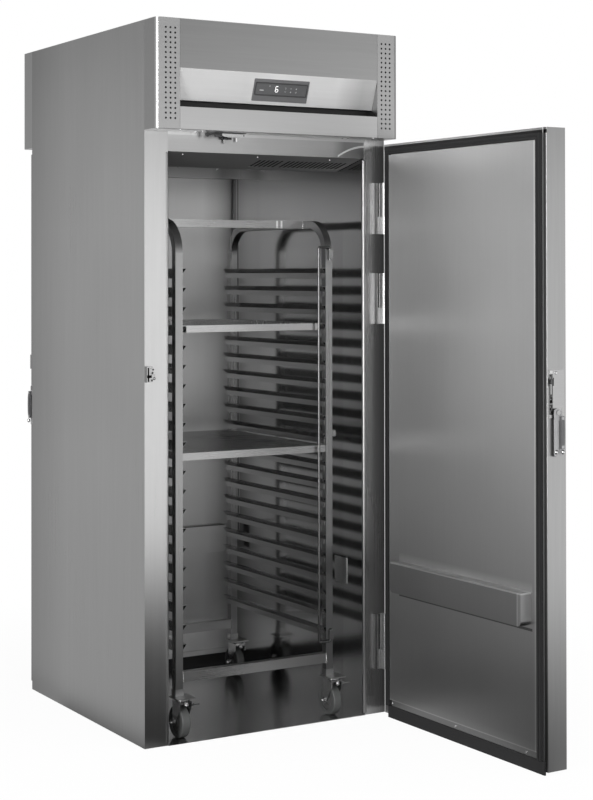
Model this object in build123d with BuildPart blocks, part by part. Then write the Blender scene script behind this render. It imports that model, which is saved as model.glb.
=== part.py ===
from build123d import *
from math import atan2, cos, degrees, radians, sin
import os

# Roll-in refrigerator, pass-through type, with its rack trolley standing inside.
# Millimetres. The origin is on the floor under the middle of the cabinet,
# the front faces -Y and Z is up. The front door is drawn at rest as it stands
# open, the rear door closed.

os.makedirs("parts", exist_ok=True)

# Cabinet
width = 880.0
depth = 900.0
height = 2230.0
jamb = 80.0
sheet = 1.5
floorSheet = 2.0
floorTongue = 5.0
ceilingHeight = 1830.0
rearDrop = 28.0
headerDepth = 60.0
canopyRise = 62.0
canopyReach = 83.0
canopyRadius = 16.0
evaporatorBay = 135.0
roofThickness = 60.0
wallPlateInset = 106.0
wallPlateWidth = 73.0
wallPlateBottom = 415.0
wallPlateHeight = 85.0
wallPlateThickness = 2.0
touchGap = 0.3
boltGap = 0.5

# Front panel above the door
stripWidth = 80.0
panelGap = 0.6
slopeDrop = 151.0
slopeRun = 95.0
slopeInset = 34.0
slotHeight = 23.0
panelReturn = 30.0
ventDiameter = 6.6
ventPitchX = 16.0
ventPitchZ = 15.3
ventColumns = 3
ventRows = 19
ventRaise = 1.0
ventShift = 8.0
displayWidth = 200.0
displayLength = 71.5
displayCentreX = 5.5
displayOffset = 54.0
displayWindow = 184.0
displayWindowLength = 36.0
displayWindowOffset = 4.3
displayThickness = 2.0
displayDepth = 24.0
displayCorner = 2.0
displayInnerCorner = 3.0
housingSide = 2.0
housingEnd = 6.0
housingGap = 0.5
frameWidth = 2.5
frameCorner = 5.0
frameHeight = 1.2

# Doors
doorFreeInset = 31.0
doorHingeInset = 25.0
doorBottom = 10.0
doorOverlap = 45.0
doorThickness = 71.0
doorStandOff = 14.0
doorRim = 23.0
doorTopRim = 16.5
doorEdge = 1.5
panInset = 45.0
panFreeInset = 35.0
panBottom = 62.0
panTopInset = 37.0
panHeight = 12.5
stripBottom = 40.0
stripTop = 58.0
stripThickness = 3.0
gasketWidth = 17.0
gasketHeight = 13.5
gasketFreeInset = 18.0
grooveWidth = 3.0
grooveDepth = 2.0
sweepThickness = 6.0
sweepClearance = 0.5
sweepInset = 27.0
sweepEndInset = 9.0
bumperHeight = 97.0
bumperBottom = 425.0
bumperStart = 104.7
bumperLength = 660.0
bumperReach = 52.0
bumperSheet = 2.0
bumperRadius = 14.0
openAngle = 91.0

# Hinges
pivotReach = 11.4
pivotInset = 24.0
pinDiameter = 10.0
pinRun = 0.05
knuckleRadius = 9.5
hingeLeafThickness = 3.0
hingeLeafFrom = 2.0
hingeLeafTo = 46.0
hingePlateOverlap = 22.0
hingeSets = [(149.0, 213.0, 328.0), (1285.0, 1338.0, 1452.0), (1581.0, 1638.0, 1750.0)]
hingeCover = 12.5

# Latch and handle
latchBottom = 1031.0
latchTop = 1172.0
latchFrom = 3.6
latchTo = 64.0
latchProud = 1.5
latchCorner = 3.0
latchSlotTo = 24.0
latchSlotMargin = 2.0
recessTo = 30.0
strikerHeight = 49.0
strikerCentreZ = 1143.5
strikerSheet = 2.0
strikerBarWidth = 12.0
strikerReach = 17.5
strikerWidth = 28.0
noseHeight = 14.0
noseCentreZ = 1137.0
leverPivotT = 30.0
leverPivotZ = 1048.0
leverThickness = 5.0
leverStandOff = 7.5
leverFrom = 19.0
leverTo = 46.0
leverBottom = 930.0
leverHead = 11.0
leverCorner = 9.0
leverSlotEnd = 8.0
leverSlotHead = 24.0
leverSlotCorner = 2.5
leverSlotFrom = 31.0
leverSlotTo = 37.0
gripThickness = 9.0
gripCentreZ = 990.0
gripLength = 92.0
gripCorner = 4.0
studDiameter = 8.0
studHead = 3.0
fingerReach = 7.0
fingerWidth = 8.0
fingerFrom = 10.0
fingerPocket = 12.0
fingerPocketTo = 32.0
fingerPocketMargin = 2.0
fingerEdge = 2.0

# Rack trolley
rackCentreX = -17.5
rackPlay = 143.0
rackFrontInset = 55.0
rackBackInset = 170.0
rackHeadroom = 203.0
tube = 25.0
tubeWall = 1.5
bendRadius = 110.0
lowBarRise = 22.0
lowBarHeight = 31.0
runnerLevels = 20
runnerDrop = 159.0
runnerGroupGap = 89.0
runnerEndInset = 3.0
runnerPitch = 60.4
runnerWeb = 32.0
runnerSheet = 1.5
runnerLedge = 15.0
runnerInset = 10.0
shelfTop = 888.0
shelfRim = 23.0
shelfSheet = 1.5
shelfInset = 5.0
topBarInset = 145.0
trayLevel = 4
trayRim = 22.0
trayClearance = 3.0
traySheet = 1.2
trayBackInset = 20.0
rodDiameter = 8.0
rodDrop = 89.0
rodBottom = 245.0
rodStandOff = 6.0
rodSwing = 43.0
rodReturnTop = 43.0
rodReturnBottom = 41.0
rodBend = 6.5
sleeveHalf = 8.0
sleeveHeight = 30.0
sleeveLift = 7.0
sleeveDrop = 38.0
catchReach = 13.0
catchBottom = 915.0
catchHeight = 20.0
casterLeftInset = 16.5
casterRightInset = 6.0
casterFrontProud = 11.0
casterRearInset = 34.0
casterTrail = 18.0
wheelDiameter = 100.0
wheelWidth = 30.0
tyreEdge = 5.0
wheelDish = 6.0
wheelDishOuter = 34.0
wheelDishInner = 14.0
hubBore = 10.0
axleRun = 0.05
forkGap = 3.0
forkSheet = 2.5
forkFront = 25.0
forkBack = 27.0
forkShoulder = 22.0
forkShoulderInset = 2.0
forkEyeRadius = 10.0
axleProud = 4.0
nutRadius = 8.0
nutHeight = 5.0
crownGap = 16.7
plateThickness = 4.0
plateSize = 62.0
plateGap = 7.5
padRim = 2.0
padHeight = 19.0
collarRadius = 18.0
kingpinDiameter = 12.0
kingpinFoot = 6.0
kingpinNutDrop = 4.0
kingpinNutRim = 3.0
kingpinNutHeight = 8.0
brakeLength = 24.0
brakeWidth = 26.0
brakeForward = 22.0
brakeSheet = 3.0
brakeBarrel = 9.0
brakePin = 4.0
brakePivotDrop = 9.0
lugSheet = 3.0
lugHalf = 4.0
rackClearance = 0.3

# Cooling plant
fanRadius = 90.0
fanHub = 22.0
fanShaft = 8.0
fanBlades = 5
fanDepth = 18.0
fanHubRim = 6.0
bladeRoot = 4.0
bladeChord = 52.0
bladeThickness = 1.6
bladePitch = 24.0
coilLength = 600.0
coilDepth = 150.0
coilHeight = 95.0
finCount = 40
finThickness = 0.6
coilTube = 12.0
coilFromBack = 145.0
coilTubeEnd = 10.0
coilColumns = 3
coilRows = 2
compressorX = 170.0
compressorY = 30.0
compressorRadius = 78.0
compressorHeight = 170.0
compressorFootX = 200.0
compressorFootY = 130.0
compressorFootZ = 6.0
compressorDome = 50.0
terminalX = 44.0
terminalY = 60.0
terminalZ = 70.0
terminalReach = 14.0
terminalHeight = 80.0
condenserWidth = 300.0
condenserHeight = 150.0
condenserDepth = 44.0
condenserInset = 20.0
condenserFoot = 18.0
condenserTubeEnd = 10.0
condenserColumns = 2
condenserRows = 5
condenserEndInset = 6.0
condenserEndSheet = 3.0
condenserEndRim = 2.0
condenserEndTop = 4.0
suctionX = 60.0
pipeDiameter = 10.0
pipeBend = 25.0
pipeDip = 20.0
dischargeReach = 30.0
dischargeInset = 130.0
coverBackInset = 185.0
coverSideGap = 5.0
louvreX = 202.0
louvreFrontY = -170.0
louvreRearY = 60.0
louvreCount = 20
louvrePitch = 13.6
louvreLength = 190.0
louvreWidth = 6.5
evaporatorFanX = -170.0
evaporatorFanY = -140.0
evaporatorFanLift = 50.0
condenserFanX = -150.0
condenserFanLift = 103.0
condenserFanGap = 32.0
motorRadius = 32.0
motorLength = 50.0
motorFoot = 3.0
motorGap = 20.0
motorStrapX = 60.0
motorStrapY = 15.0
motorPostX = 20.0
motorPostInset = 8.0
motorBaseX = 50.0
boxWidth = 210.0
boxDepth = 230.0
boxHeight = 95.0
boxSideInset = 30.0
boxBackInset = 70.0
boxCorner = 6.0
glandInset = 140.0
glandDrop = 80.0
glandHex = 14.0
glandHexHeight = 9.0
glandNut = 10.0
glandLength = 24.0
glandBore = 4.5

# Door switch under the front canopy
switchLeft = -215.0
switchRight = -102.0
switchBodyRight = -148.0
switchFrontReach = 34.0
switchBackReach = 1.0
switchSheet = 2.0
switchBody = 9.0
switchLeverX = -165.0
switchPinReach = 7.0
switchPinDrop = 16.0
switchLeverLength = 16.0
switchLeverWidth = 5.0
switchLeverHalf = 4.5
switchLeverEye = 4.0
switchPinRadius = 2.0
switchPinHalf = 8.5
switchLugX = 7.0
switchLugHalf = 1.5
switchLugY = 5.0

# Values worked out from the sizes above
halfWidth = width / 2
halfDepth = depth / 2
openingHalf = halfWidth - jamb
headerTop = ceilingHeight + evaporatorBay
deck = headerTop + roofThickness
canopyBottom = ceilingHeight + canopyRise
wallPlateFront = -halfDepth + wallPlateInset
canopyFace = halfDepth + canopyReach
stripEdge = halfWidth - stripWidth
panelHalf = stripEdge - panelGap
doorInner = halfDepth + doorStandOff
doorOuter = doorInner + doorThickness
doorHingeEdge = halfWidth - doorHingeInset
doorFreeEdge = -halfWidth + doorFreeInset
doorTop = ceilingHeight + doorOverlap
pivotX = doorHingeEdge + pivotReach
pivotY = halfDepth + pivotInset
hingePlateLeft = doorHingeEdge - hingePlateOverlap
strikerLeft = halfWidth
noseEnd = halfWidth - strikerWidth
slopeTop = height - slopeDrop
slopeBottom = slopeTop - slopeRun
slotBottom = slopeBottom - slotHeight
ventCentreZ = (canopyBottom + height) / 2 + ventRaise
slopeAngle = degrees(atan2(slopeInset, slopeRun))


def save(part, name):
    part.label = name
    export_step(part, f"parts/{name}.step")


def opened(side, plane):
    # The front door stands open about its pivot, the rear door is shut.
    if side > 0:
        return plane
    turn = Location((pivotX, -pivotY, 0)) * Location((0, 0, 0), (0, 0, openAngle))
    return Plane(turn * Location((-pivotX, pivotY, 0)) * plane.location)


def block(x0, x1, y0, y1, z0, z1, mode=Mode.ADD):
    # A box between two corners, in the axes of the part block that calls it.
    with Locations(((x0 + x1) / 2, (y0 + y1) / 2, (z0 + z1) / 2)):
        Box(abs(x1 - x0), abs(y1 - y0), abs(z1 - z0), mode=mode)


# Cabinet walls: a folded outer sheet, foam and a polished inner sheet each side
def sidePanel(name, side):
    with BuildPart() as panel:
        block(side * (halfWidth - sheet), side * halfWidth, -halfDepth, halfDepth, 0, height)
        for end in (-1, 1):
            block(
                side * openingHalf, side * halfWidth,
                end * (halfDepth - sheet), end * halfDepth, 0, height,
            )
    save(panel.part, name)


sidePanel("side_panel_left", -1)
sidePanel("side_panel_right", 1)
with BuildPart() as innerWalls:
    for side in (-1, 1):
        block(
            side * openingHalf, side * (openingHalf + sheet),
            -halfDepth + sheet, halfDepth - sheet, floorSheet, deck,
        )
    # Blanking plate low on the right wall
    block(
        openingHalf - wallPlateThickness, openingHalf, wallPlateFront, wallPlateFront + wallPlateWidth,
        wallPlateBottom, wallPlateBottom + wallPlateHeight,
    )
save(innerWalls.part, "inner_walls")

foamSide = openingHalf + sheet
headerInner = halfDepth - headerDepth
with BuildPart() as insulation:
    for side in (-1, 1):
        block(
            side * foamSide, side * (halfWidth - sheet),
            -halfDepth + sheet, halfDepth - sheet, floorSheet, deck,
        )
        drop = rearDrop if side > 0 else 0
        block(
            -openingHalf, openingHalf, side * (headerInner + sheet),
            side * (halfDepth - sheet), ceilingHeight - drop + sheet, headerTop,
        )
    block(-openingHalf, openingHalf, -halfDepth + sheet, halfDepth - sheet, headerTop, deck)
    # Passage of the suction pipe through the roof
    with Locations((suctionX, compressorY, (headerTop + deck) / 2)):
        Cylinder(pipeDiameter / 2 + touchGap, roofThickness, mode=Mode.SUBTRACT)
save(insulation.part, "foam_insulation")

with BuildPart() as headers:
    for side in (-1, 1):
        drop = rearDrop if side > 0 else 0
        low = ceilingHeight - drop
        block(
            -openingHalf, openingHalf, side * headerInner, side * (headerInner + sheet),
            low, headerTop,
        )
        block(-openingHalf, openingHalf, side * (halfDepth - sheet), side * halfDepth, low, deck)
        block(-openingHalf, openingHalf, side * headerInner, side * halfDepth, low, low + sheet)
save(headers.part, "door_headers")

with BuildPart() as floorPlate:
    block(
        -halfWidth + sheet, halfWidth - sheet, -halfDepth + sheet, halfDepth - sheet,
        0, floorSheet,
    )
    block(
        -openingHalf, openingHalf, -halfDepth - floorTongue, halfDepth + floorTongue,
        0, floorSheet,
    )
save(floorPlate.part, "floor_plate")

with BuildPart() as topCover:
    block(
        -halfWidth + sheet, halfWidth - sheet, -halfDepth + sheet, halfDepth - sheet,
        height - sheet, height,
    )
save(topCover.part, "top_cover")


# Canopies over the doors
def canopy(name, side, window):
    with BuildPart() as shell:
        block(
            -halfWidth, halfWidth, side * halfDepth, side * canopyFace, canopyBottom, height,
        )
        corners = shell.edges().filter_by(Axis.Z).group_by(Axis.Y)[0 if side < 0 else -1]
        fillet(corners, radius=canopyRadius)
        back = shell.faces().sort_by(Axis.Y)[-1 if side < 0 else 0]
        offset(amount=-sheet, openings=back)
        if window:
            block(
                -stripEdge, stripEdge, side * canopyFace, side * (canopyFace - sheet),
                canopyBottom + sheet, height - sheet, mode=Mode.SUBTRACT,
            )
            for edge in (-1, 1):
                block(
                    edge * stripEdge, edge * (stripEdge + sheet),
                    side * (canopyFace - sheet), side * (canopyFace - slopeInset - panelReturn),
                    canopyBottom + sheet, height - sheet,
                )
        face = Plane((0, side * canopyFace, 0), x_dir=(-side, 0, 0), z_dir=(0, side, 0))
        for edge in (-1, 1):
            with BuildSketch(face):
                with Locations((edge * (stripEdge + stripWidth / 2 - ventShift), ventCentreZ)):
                    with GridLocations(ventPitchX, ventPitchZ, ventColumns, ventRows):
                        Circle(ventDiameter / 2)
            extrude(amount=-2 * sheet, mode=Mode.SUBTRACT)
    save(shell.part, name)


canopy("front_canopy", -1, True)
canopy("rear_canopy", 1, False)


faceY = -canopyFace
slopeFoot = faceY + slopeInset
slopePlane = Plane(
    origin=(displayCentreX, faceY, slopeTop),
    x_dir=(1, 0, 0),
    z_dir=(0, -cos(radians(slopeAngle)), -sin(radians(slopeAngle))),
)
displayOrigin = slopePlane.from_local_coords(Vector(0, -displayOffset, 0))
displayPlane = Plane(displayOrigin, (1, 0, 0), slopePlane.z_dir)
housingWidth = displayWindow + 2 * housingSide
housingLength = displayWindowLength + 2 * housingEnd

with BuildPart() as fasciaPanels:
    with BuildSketch(Plane.YZ.offset(-panelHalf)):
        with BuildLine():
            Polyline(
                (faceY, height - sheet), (faceY, slopeTop), (slopeFoot, slopeBottom),
                (slopeFoot + panelReturn, slopeBottom),
                (slopeFoot + panelReturn, slopeBottom + sheet),
                (slopeFoot + sheet, slopeBottom + sheet),
                (faceY + sheet, slopeTop + sheet / 2), (faceY + sheet, height - sheet),
                close=True,
            )
        make_face()
    extrude(amount=2 * panelHalf)
    with BuildSketch(displayPlane.offset(displayThickness)):
        with Locations((0, displayWindowOffset)):
            Rectangle(housingWidth + 2 * housingGap, housingLength + 2 * housingGap)
    extrude(amount=-3 * displayThickness, mode=Mode.SUBTRACT)
    # Flat panel below the air slot, a separate sheet
    block(-panelHalf, panelHalf, faceY, faceY + sheet, canopyBottom + sheet, slotBottom)
    block(
        -panelHalf, panelHalf, faceY, slopeFoot + panelReturn,
        slotBottom - sheet, slotBottom,
    )
save(fasciaPanels.part, "fascia_panels")

with BuildPart() as display:
    with BuildSketch(displayPlane):
        RectangleRounded(displayWidth, displayLength, displayCorner)
    extrude(amount=displayThickness)
    with BuildSketch(displayPlane):
        with Locations((0, displayWindowOffset)):
            RectangleRounded(housingWidth, housingLength, displayInnerCorner)
    extrude(amount=-displayDepth)
    with BuildSketch(displayPlane.offset(displayThickness)):
        with Locations((0, displayWindowOffset)):
            RectangleRounded(
                displayWindow + 2 * frameWidth, displayWindowLength + 2 * frameWidth, frameCorner,
            )
            RectangleRounded(
                displayWindow, displayWindowLength, displayInnerCorner, mode=Mode.SUBTRACT,
            )
    extrude(amount=frameHeight)
save(display.part, "display_unit")


# Doors, drawn shut against the cabinet and then placed as they stand
def doorBlock(side, x0, x1, y0, y1, z0, z1, mode=Mode.ADD):
    # Depths are given outwards from the cabinet's middle; the rear door mirrors the front.
    block(x0, x1, side * y0, side * y1, z0, z1, mode=mode)


def doorAxis(side, direction):
    # An axis of the shut door, turned with the door as it stands
    plane = opened(side, Plane.XY)
    return Axis(plane.origin, plane.from_local_coords(Vector(direction)) - plane.origin)


def doorSkin(name, side):
    with BuildPart(opened(side, Plane.XY)) as skin:
        doorBlock(side, doorFreeEdge, doorHingeEdge, doorInner, doorOuter, doorBottom, doorTop)
        fillet(skin.edges().filter_by(Axis.Z), radius=doorEdge)
        doorBlock(
            side, doorFreeEdge + sheet, doorHingeEdge - sheet, doorInner + sheet, doorOuter - sheet,
            doorBottom + sheet, doorTop - sheet, mode=Mode.SUBTRACT,
        )
        doorBlock(
            side, doorFreeEdge + doorRim, doorHingeEdge - doorRim, doorInner, doorInner + sheet,
            doorBottom + doorRim, doorTop - doorTopRim, mode=Mode.SUBTRACT,
        )
        # Recess for the push finger's slide in the free edge
        doorBlock(
            side, doorFreeEdge, doorFreeEdge + sheet, doorInner + latchFrom, doorInner + recessTo,
            noseCentreZ - noseHeight, noseCentreZ + noseHeight, mode=Mode.SUBTRACT,
        )
    save(skin.part, name)


panLeft = doorFreeEdge + panFreeInset
panRight = doorHingeEdge - panInset
panTop = doorTop - panTopInset


def doorInnerPanel(name, side):
    with BuildPart(opened(side, Plane.XY)) as core:
        doorBlock(
            side, doorFreeEdge + sheet, doorHingeEdge - sheet, doorInner + sheet, doorOuter - sheet,
            doorBottom + sheet, doorTop - sheet,
        )
        # Pocket round the slide of the push finger
        doorBlock(
            side, doorFreeEdge + sheet, doorFreeEdge + fingerPocket, doorInner + sheet,
            doorInner + fingerPocketTo,
            noseCentreZ - noseHeight - fingerPocketMargin,
            noseCentreZ + noseHeight + fingerPocketMargin, mode=Mode.SUBTRACT,
        )
        doorBlock(
            side, doorFreeEdge + doorRim, doorHingeEdge - doorRim, doorInner, doorInner + sheet,
            doorBottom + doorRim, doorTop - doorTopRim,
        )
        doorBlock(side, panLeft, panRight, doorInner - panHeight, doorInner, panBottom, panTop)
        doorBlock(
            side, panLeft, panRight, doorInner - stripThickness, doorInner, stripBottom, stripTop,
        )
    save(core.part, name)


gasketRight = doorHingeEdge - doorRim
gasketLeft = doorFreeEdge + gasketFreeInset
gasketTop = doorTop - doorTopRim


def doorSeals(name, side):
    with BuildPart(opened(side, Plane.XY)) as seals:
        sealTo = doorInner - gasketHeight
        doorBlock(side, gasketLeft, gasketRight, sealTo, doorInner, stripBottom, gasketTop)
        doorBlock(
            side, gasketLeft + gasketWidth, gasketRight - gasketWidth, sealTo, doorInner,
            stripBottom, gasketTop - gasketWidth, mode=Mode.SUBTRACT,
        )
        # Groove along the middle of the gasket's face
        grooveInset = (gasketWidth - grooveWidth) / 2
        doorBlock(
            side, gasketLeft + grooveInset, gasketRight - grooveInset, sealTo, sealTo + grooveDepth,
            stripBottom, gasketTop - grooveInset, mode=Mode.SUBTRACT,
        )
        doorBlock(
            side, gasketLeft + grooveInset + grooveWidth, gasketRight - grooveInset - grooveWidth,
            sealTo, sealTo + grooveDepth, stripBottom, gasketTop - grooveInset - grooveWidth,
        )
        doorBlock(
            side, gasketLeft + gasketWidth, gasketRight - gasketWidth, sealTo, sealTo + grooveDepth,
            stripBottom, gasketTop - gasketWidth, mode=Mode.SUBTRACT,
        )
        doorBlock(
            side, doorFreeEdge + sweepEndInset, doorHingeEdge - sweepInset,
            doorInner - sweepThickness, doorInner, sweepClearance, stripBottom,
        )
    save(seals.part, name)


def doorBumper(name, side):
    right = doorHingeEdge - bumperStart
    left = right - bumperLength
    back = doorInner - panHeight
    face = doorInner - bumperReach
    top = bumperBottom + bumperHeight
    with BuildPart(opened(side, Plane.XY)) as bumper:
        doorBlock(side, left, right, face, back, bumperBottom, top)
        lowEdges = bumper.edges().filter_by(doorAxis(side, (0, 1, 0))).group_by(Axis.Z)[0]
        fillet(lowEdges, radius=bumperRadius)
        doorBlock(
            side, left + bumperSheet, right - bumperSheet, face + bumperSheet, back,
            bumperBottom + bumperSheet, top - bumperSheet, mode=Mode.SUBTRACT,
        )
    save(bumper.part, name)


def doorHinges(name, side):
    with BuildPart(opened(side, Plane.XY)) as hinges:
        for low, split, high in hingeSets:
            bottom = split + boltGap
            doorBlock(
                side, doorHingeEdge, doorHingeEdge + hingeLeafThickness,
                doorInner + hingeLeafFrom, doorInner + hingeLeafTo, bottom, high,
            )
            with Locations((pivotX, side * pivotY, (bottom + high) / 2)):
                Cylinder(knuckleRadius, high - bottom)
            with Locations((pivotX, side * pivotY, (bottom + high) / 2)):
                Cylinder(pinDiameter / 2 + pinRun, high - bottom, mode=Mode.SUBTRACT)
    save(hinges.part, name)


def latchCase(name, side):
    edge = doorFreeEdge
    with BuildPart(opened(side, Plane.XY)) as case:
        doorBlock(
            side, edge - latchProud, edge, doorInner + latchFrom, doorInner + latchTo,
            latchBottom, latchTop,
        )
        fillet(case.edges().filter_by(doorAxis(side, (1, 0, 0))), radius=latchCorner)
        doorBlock(
            side, edge - latchProud, edge, doorInner + latchFrom, doorInner + latchSlotTo,
            noseCentreZ - noseHeight + latchSlotMargin, noseCentreZ + noseHeight - latchSlotMargin,
            mode=Mode.SUBTRACT,
        )
        # Stud that carries the lever, with its head
        studFoot = edge - latchProud
        studEnd = edge - leverStandOff - leverThickness - 2 * touchGap
        with BuildSketch(opened(side, Plane.YZ.offset(studFoot))):
            with Locations((side * (doorInner + leverPivotT), leverPivotZ)):
                Circle(studDiameter / 2)
        extrude(amount=studEnd - studFoot)
        with BuildSketch(opened(side, Plane.YZ.offset(studEnd))):
            with Locations((side * (doorInner + leverPivotT), leverPivotZ)):
                Circle(studDiameter / 2 + studHead)
        extrude(amount=-studHead)
    save(case.part, name)


def pullLever(name, side):
    near = doorFreeEdge - leverStandOff
    far = near - leverThickness
    middle = (leverFrom + leverTo) / 2
    with BuildPart(opened(side, Plane.XY)) as lever:
        with BuildSketch(opened(side, Plane.YZ.offset(near))):
            with Locations((side * (doorInner + middle), (leverBottom + leverPivotZ) / 2)):
                RectangleRounded(
                    leverTo - leverFrom, leverPivotZ - leverBottom + 2 * leverHead, leverCorner,
                )
            with Locations((side * (doorInner + leverPivotT), leverPivotZ)):
                Circle(studDiameter / 2 + pinRun, mode=Mode.SUBTRACT)
            slotMiddle = (leverSlotFrom + leverSlotTo) / 2
            slotLow, slotHigh = leverBottom + leverSlotEnd, leverPivotZ - leverSlotHead
            with Locations((side * (doorInner + slotMiddle), (slotLow + slotHigh) / 2)):
                RectangleRounded(
                    leverSlotTo - leverSlotFrom, slotHigh - slotLow, leverSlotCorner,
                    mode=Mode.SUBTRACT,
                )
        extrude(amount=far - near)
        gripMiddle = (leverSlotTo + leverTo) / 2
        with BuildSketch(opened(side, Plane.YZ.offset(far))):
            with Locations((side * (doorInner + gripMiddle), gripCentreZ)):
                RectangleRounded(leverTo - leverSlotTo, gripLength, gripCorner)
        extrude(amount=-gripThickness)
    save(lever.part, name)


def pushFinger(name, side):
    edge = doorFreeEdge
    with BuildPart(opened(side, Plane.XY)) as finger:
        doorBlock(
            side, edge - fingerReach, edge + fingerPocket - touchGap,
            doorInner + fingerFrom, doorInner + fingerFrom + fingerWidth,
            noseCentreZ - noseHeight / 2, noseCentreZ + noseHeight / 2,
        )
        tipEdges = finger.edges().filter_by(Axis.Z).group_by(doorAxis(side, (1, 0, 0)))[0]
        fillet(tipEdges, radius=fingerEdge)
    save(finger.part, name)


for label, side in (("front", -1), ("rear", 1)):
    doorSkin(f"{label}_door_skin", side)
    doorInnerPanel(f"{label}_door_inner_panel", side)
    doorSeals(f"{label}_door_seals", side)
    doorBumper(f"{label}_door_bumper_bar", side)
    doorHinges(f"{label}_door_hinge_leaves", side)
    latchCase(f"{label}_door_latch_case", side)
    pullLever(f"{label}_door_pull_lever", side)
    pushFinger(f"{label}_door_push_finger", side)


# Hinge halves, strikers and the door switch on the cabinet
with BuildPart() as hingePlates:
    for side in (-1, 1):
        face = side * halfDepth
        for low, split, high in hingeSets:
            block(
                hingePlateLeft, pivotX + knuckleRadius, face, side * (halfDepth + hingeLeafThickness),
                low, high,
            )
            block(
                hingePlateLeft, doorHingeEdge - touchGap, face, side * (halfDepth + hingeCover),
                low, high,
            )
            block(
                doorHingeEdge + touchGap, pivotX + knuckleRadius, face, side * pivotY, low, split,
            )
            with Locations((pivotX, side * pivotY, (low + split) / 2)):
                Cylinder(knuckleRadius, split - low)
            with Locations((pivotX, side * pivotY, (low + high) / 2)):
                Cylinder(pinDiameter / 2, high - low)
save(hingePlates.part, "hinge_plates")

with BuildPart() as strikers:
    for side in (-1, 1):
        block(
            -strikerLeft, -noseEnd, side * halfDepth, side * (halfDepth + strikerSheet),
            strikerCentreZ - strikerHeight / 2, strikerCentreZ + strikerHeight / 2,
        )
        block(
            -strikerLeft, -strikerLeft + strikerBarWidth, side * halfDepth,
            side * (halfDepth + strikerReach),
            strikerCentreZ - strikerHeight / 2, strikerCentreZ + strikerHeight / 2,
        )
        block(
            -strikerLeft, -noseEnd, side * halfDepth, side * (halfDepth + strikerReach),
            noseCentreZ - noseHeight / 2, noseCentreZ + noseHeight / 2,
        )
save(strikers.part, "latch_strikers")

switchFront = -halfDepth - switchFrontReach
switchBack = -halfDepth - switchBackReach
switchPinY = -halfDepth - switchPinReach
switchPinZ = canopyBottom - switchPinDrop
with BuildPart() as doorSwitch:
    block(
        switchLeft, switchRight, switchFront, switchBack, canopyBottom - switchSheet, canopyBottom,
    )
    block(
        switchLeft, switchBodyRight, switchFront, switchBack,
        canopyBottom - switchBody, canopyBottom - switchSheet,
    )
    for offsetX in (-switchLugX, switchLugX):
        block(
            switchLeverX + offsetX - switchLugHalf, switchLeverX + offsetX + switchLugHalf,
            switchPinY - switchLugY, switchPinY + switchLugY, switchPinZ - switchLugY,
            canopyBottom - switchBody,
        )
    with BuildSketch(Plane.YZ.offset(switchLeverX - switchPinHalf)):
        with Locations((switchPinY, switchPinZ)):
            Circle(switchPinRadius)
    extrude(amount=2 * switchPinHalf)
save(doorSwitch.part, "door_switch")

with BuildPart() as switchLever:
    with BuildSketch(Plane.YZ.offset(switchLeverX - switchLeverHalf)):
        with Locations((switchPinY, switchPinZ)):
            Circle(switchLeverEye)
        with Locations((switchPinY, switchPinZ - switchLeverLength / 2)):
            Rectangle(switchLeverWidth, switchLeverLength)
        with Locations((switchPinY, switchPinZ)):
            Circle(switchPinRadius + pinRun, mode=Mode.SUBTRACT)
    extrude(amount=2 * switchLeverHalf)
save(switchLever.part, "door_switch_lever")


# Cooling plant above the ceiling
coverBack = halfDepth - coverBackInset
coverHalf = openingHalf - coverSideGap
with BuildPart() as evaporatorCover:
    block(-coverHalf, coverHalf, -headerInner, coverBack, ceilingHeight, ceilingHeight + sheet)
    for side in (-1, 1):
        block(
            side * (coverHalf - sheet), side * coverHalf, -headerInner, coverBack,
            ceilingHeight, headerTop,
        )
    with BuildSketch(Plane.XY.offset(ceilingHeight)):
        with Locations((louvreX, louvreFrontY), (louvreX, louvreRearY)):
            with GridLocations(louvrePitch, 1, louvreCount, 1):
                SlotOverall(louvreLength, louvreWidth, rotation=90)
    extrude(amount=sheet, mode=Mode.SUBTRACT)
save(evaporatorCover.part, "evaporator_cover")

coilY = coverBack - coilFromBack
coilZ = headerTop - coilHeight / 2
with BuildPart() as coil:
    with Locations((0, coilY, coilZ)):
        with GridLocations(coilLength / (finCount - 1), 1, finCount, 1):
            Box(finThickness, coilDepth, coilHeight)
    with BuildSketch(Plane.YZ.offset(-coilLength / 2 - coilTubeEnd)):
        with Locations((coilY, coilZ)):
            with GridLocations(coilDepth / coilColumns, coilHeight / coilRows, coilColumns, coilRows):
                Circle(coilTube / 2)
    extrude(amount=coilLength + 2 * coilTubeEnd)
save(coil.part, "evaporator_coil")

evaporatorFanZ = ceilingHeight + evaporatorFanLift
condenserFanZ = deck + condenserFanLift
condenserY = -halfDepth + condenserInset
condenserFanY = condenserY + condenserDepth + condenserFanGap


def fanRotor(plane):
    # Hub with pitched blades, bored for the motor's shaft
    with BuildPart(plane) as rotor:
        Cylinder(fanHub, fanDepth + fanHubRim)
        with PolarLocations((fanHub + fanRadius) / 2, fanBlades):
            Box(
                fanRadius - fanHub + bladeRoot, bladeChord, bladeThickness,
                rotation=(bladePitch, 0, 0),
            )
        Cylinder(fanShaft / 2 + pinRun, 3 * fanDepth, mode=Mode.SUBTRACT)
    return rotor.part


evaporatorFanPlane = Plane((evaporatorFanX, evaporatorFanY, evaporatorFanZ))
condenserFanPlane = Plane(
    origin=(condenserFanX, condenserFanY, condenserFanZ), x_dir=(1, 0, 0), z_dir=(0, 1, 0),
)
save(fanRotor(evaporatorFanPlane), "evaporator_fan")
save(fanRotor(condenserFanPlane), "condenser_fan")

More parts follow.
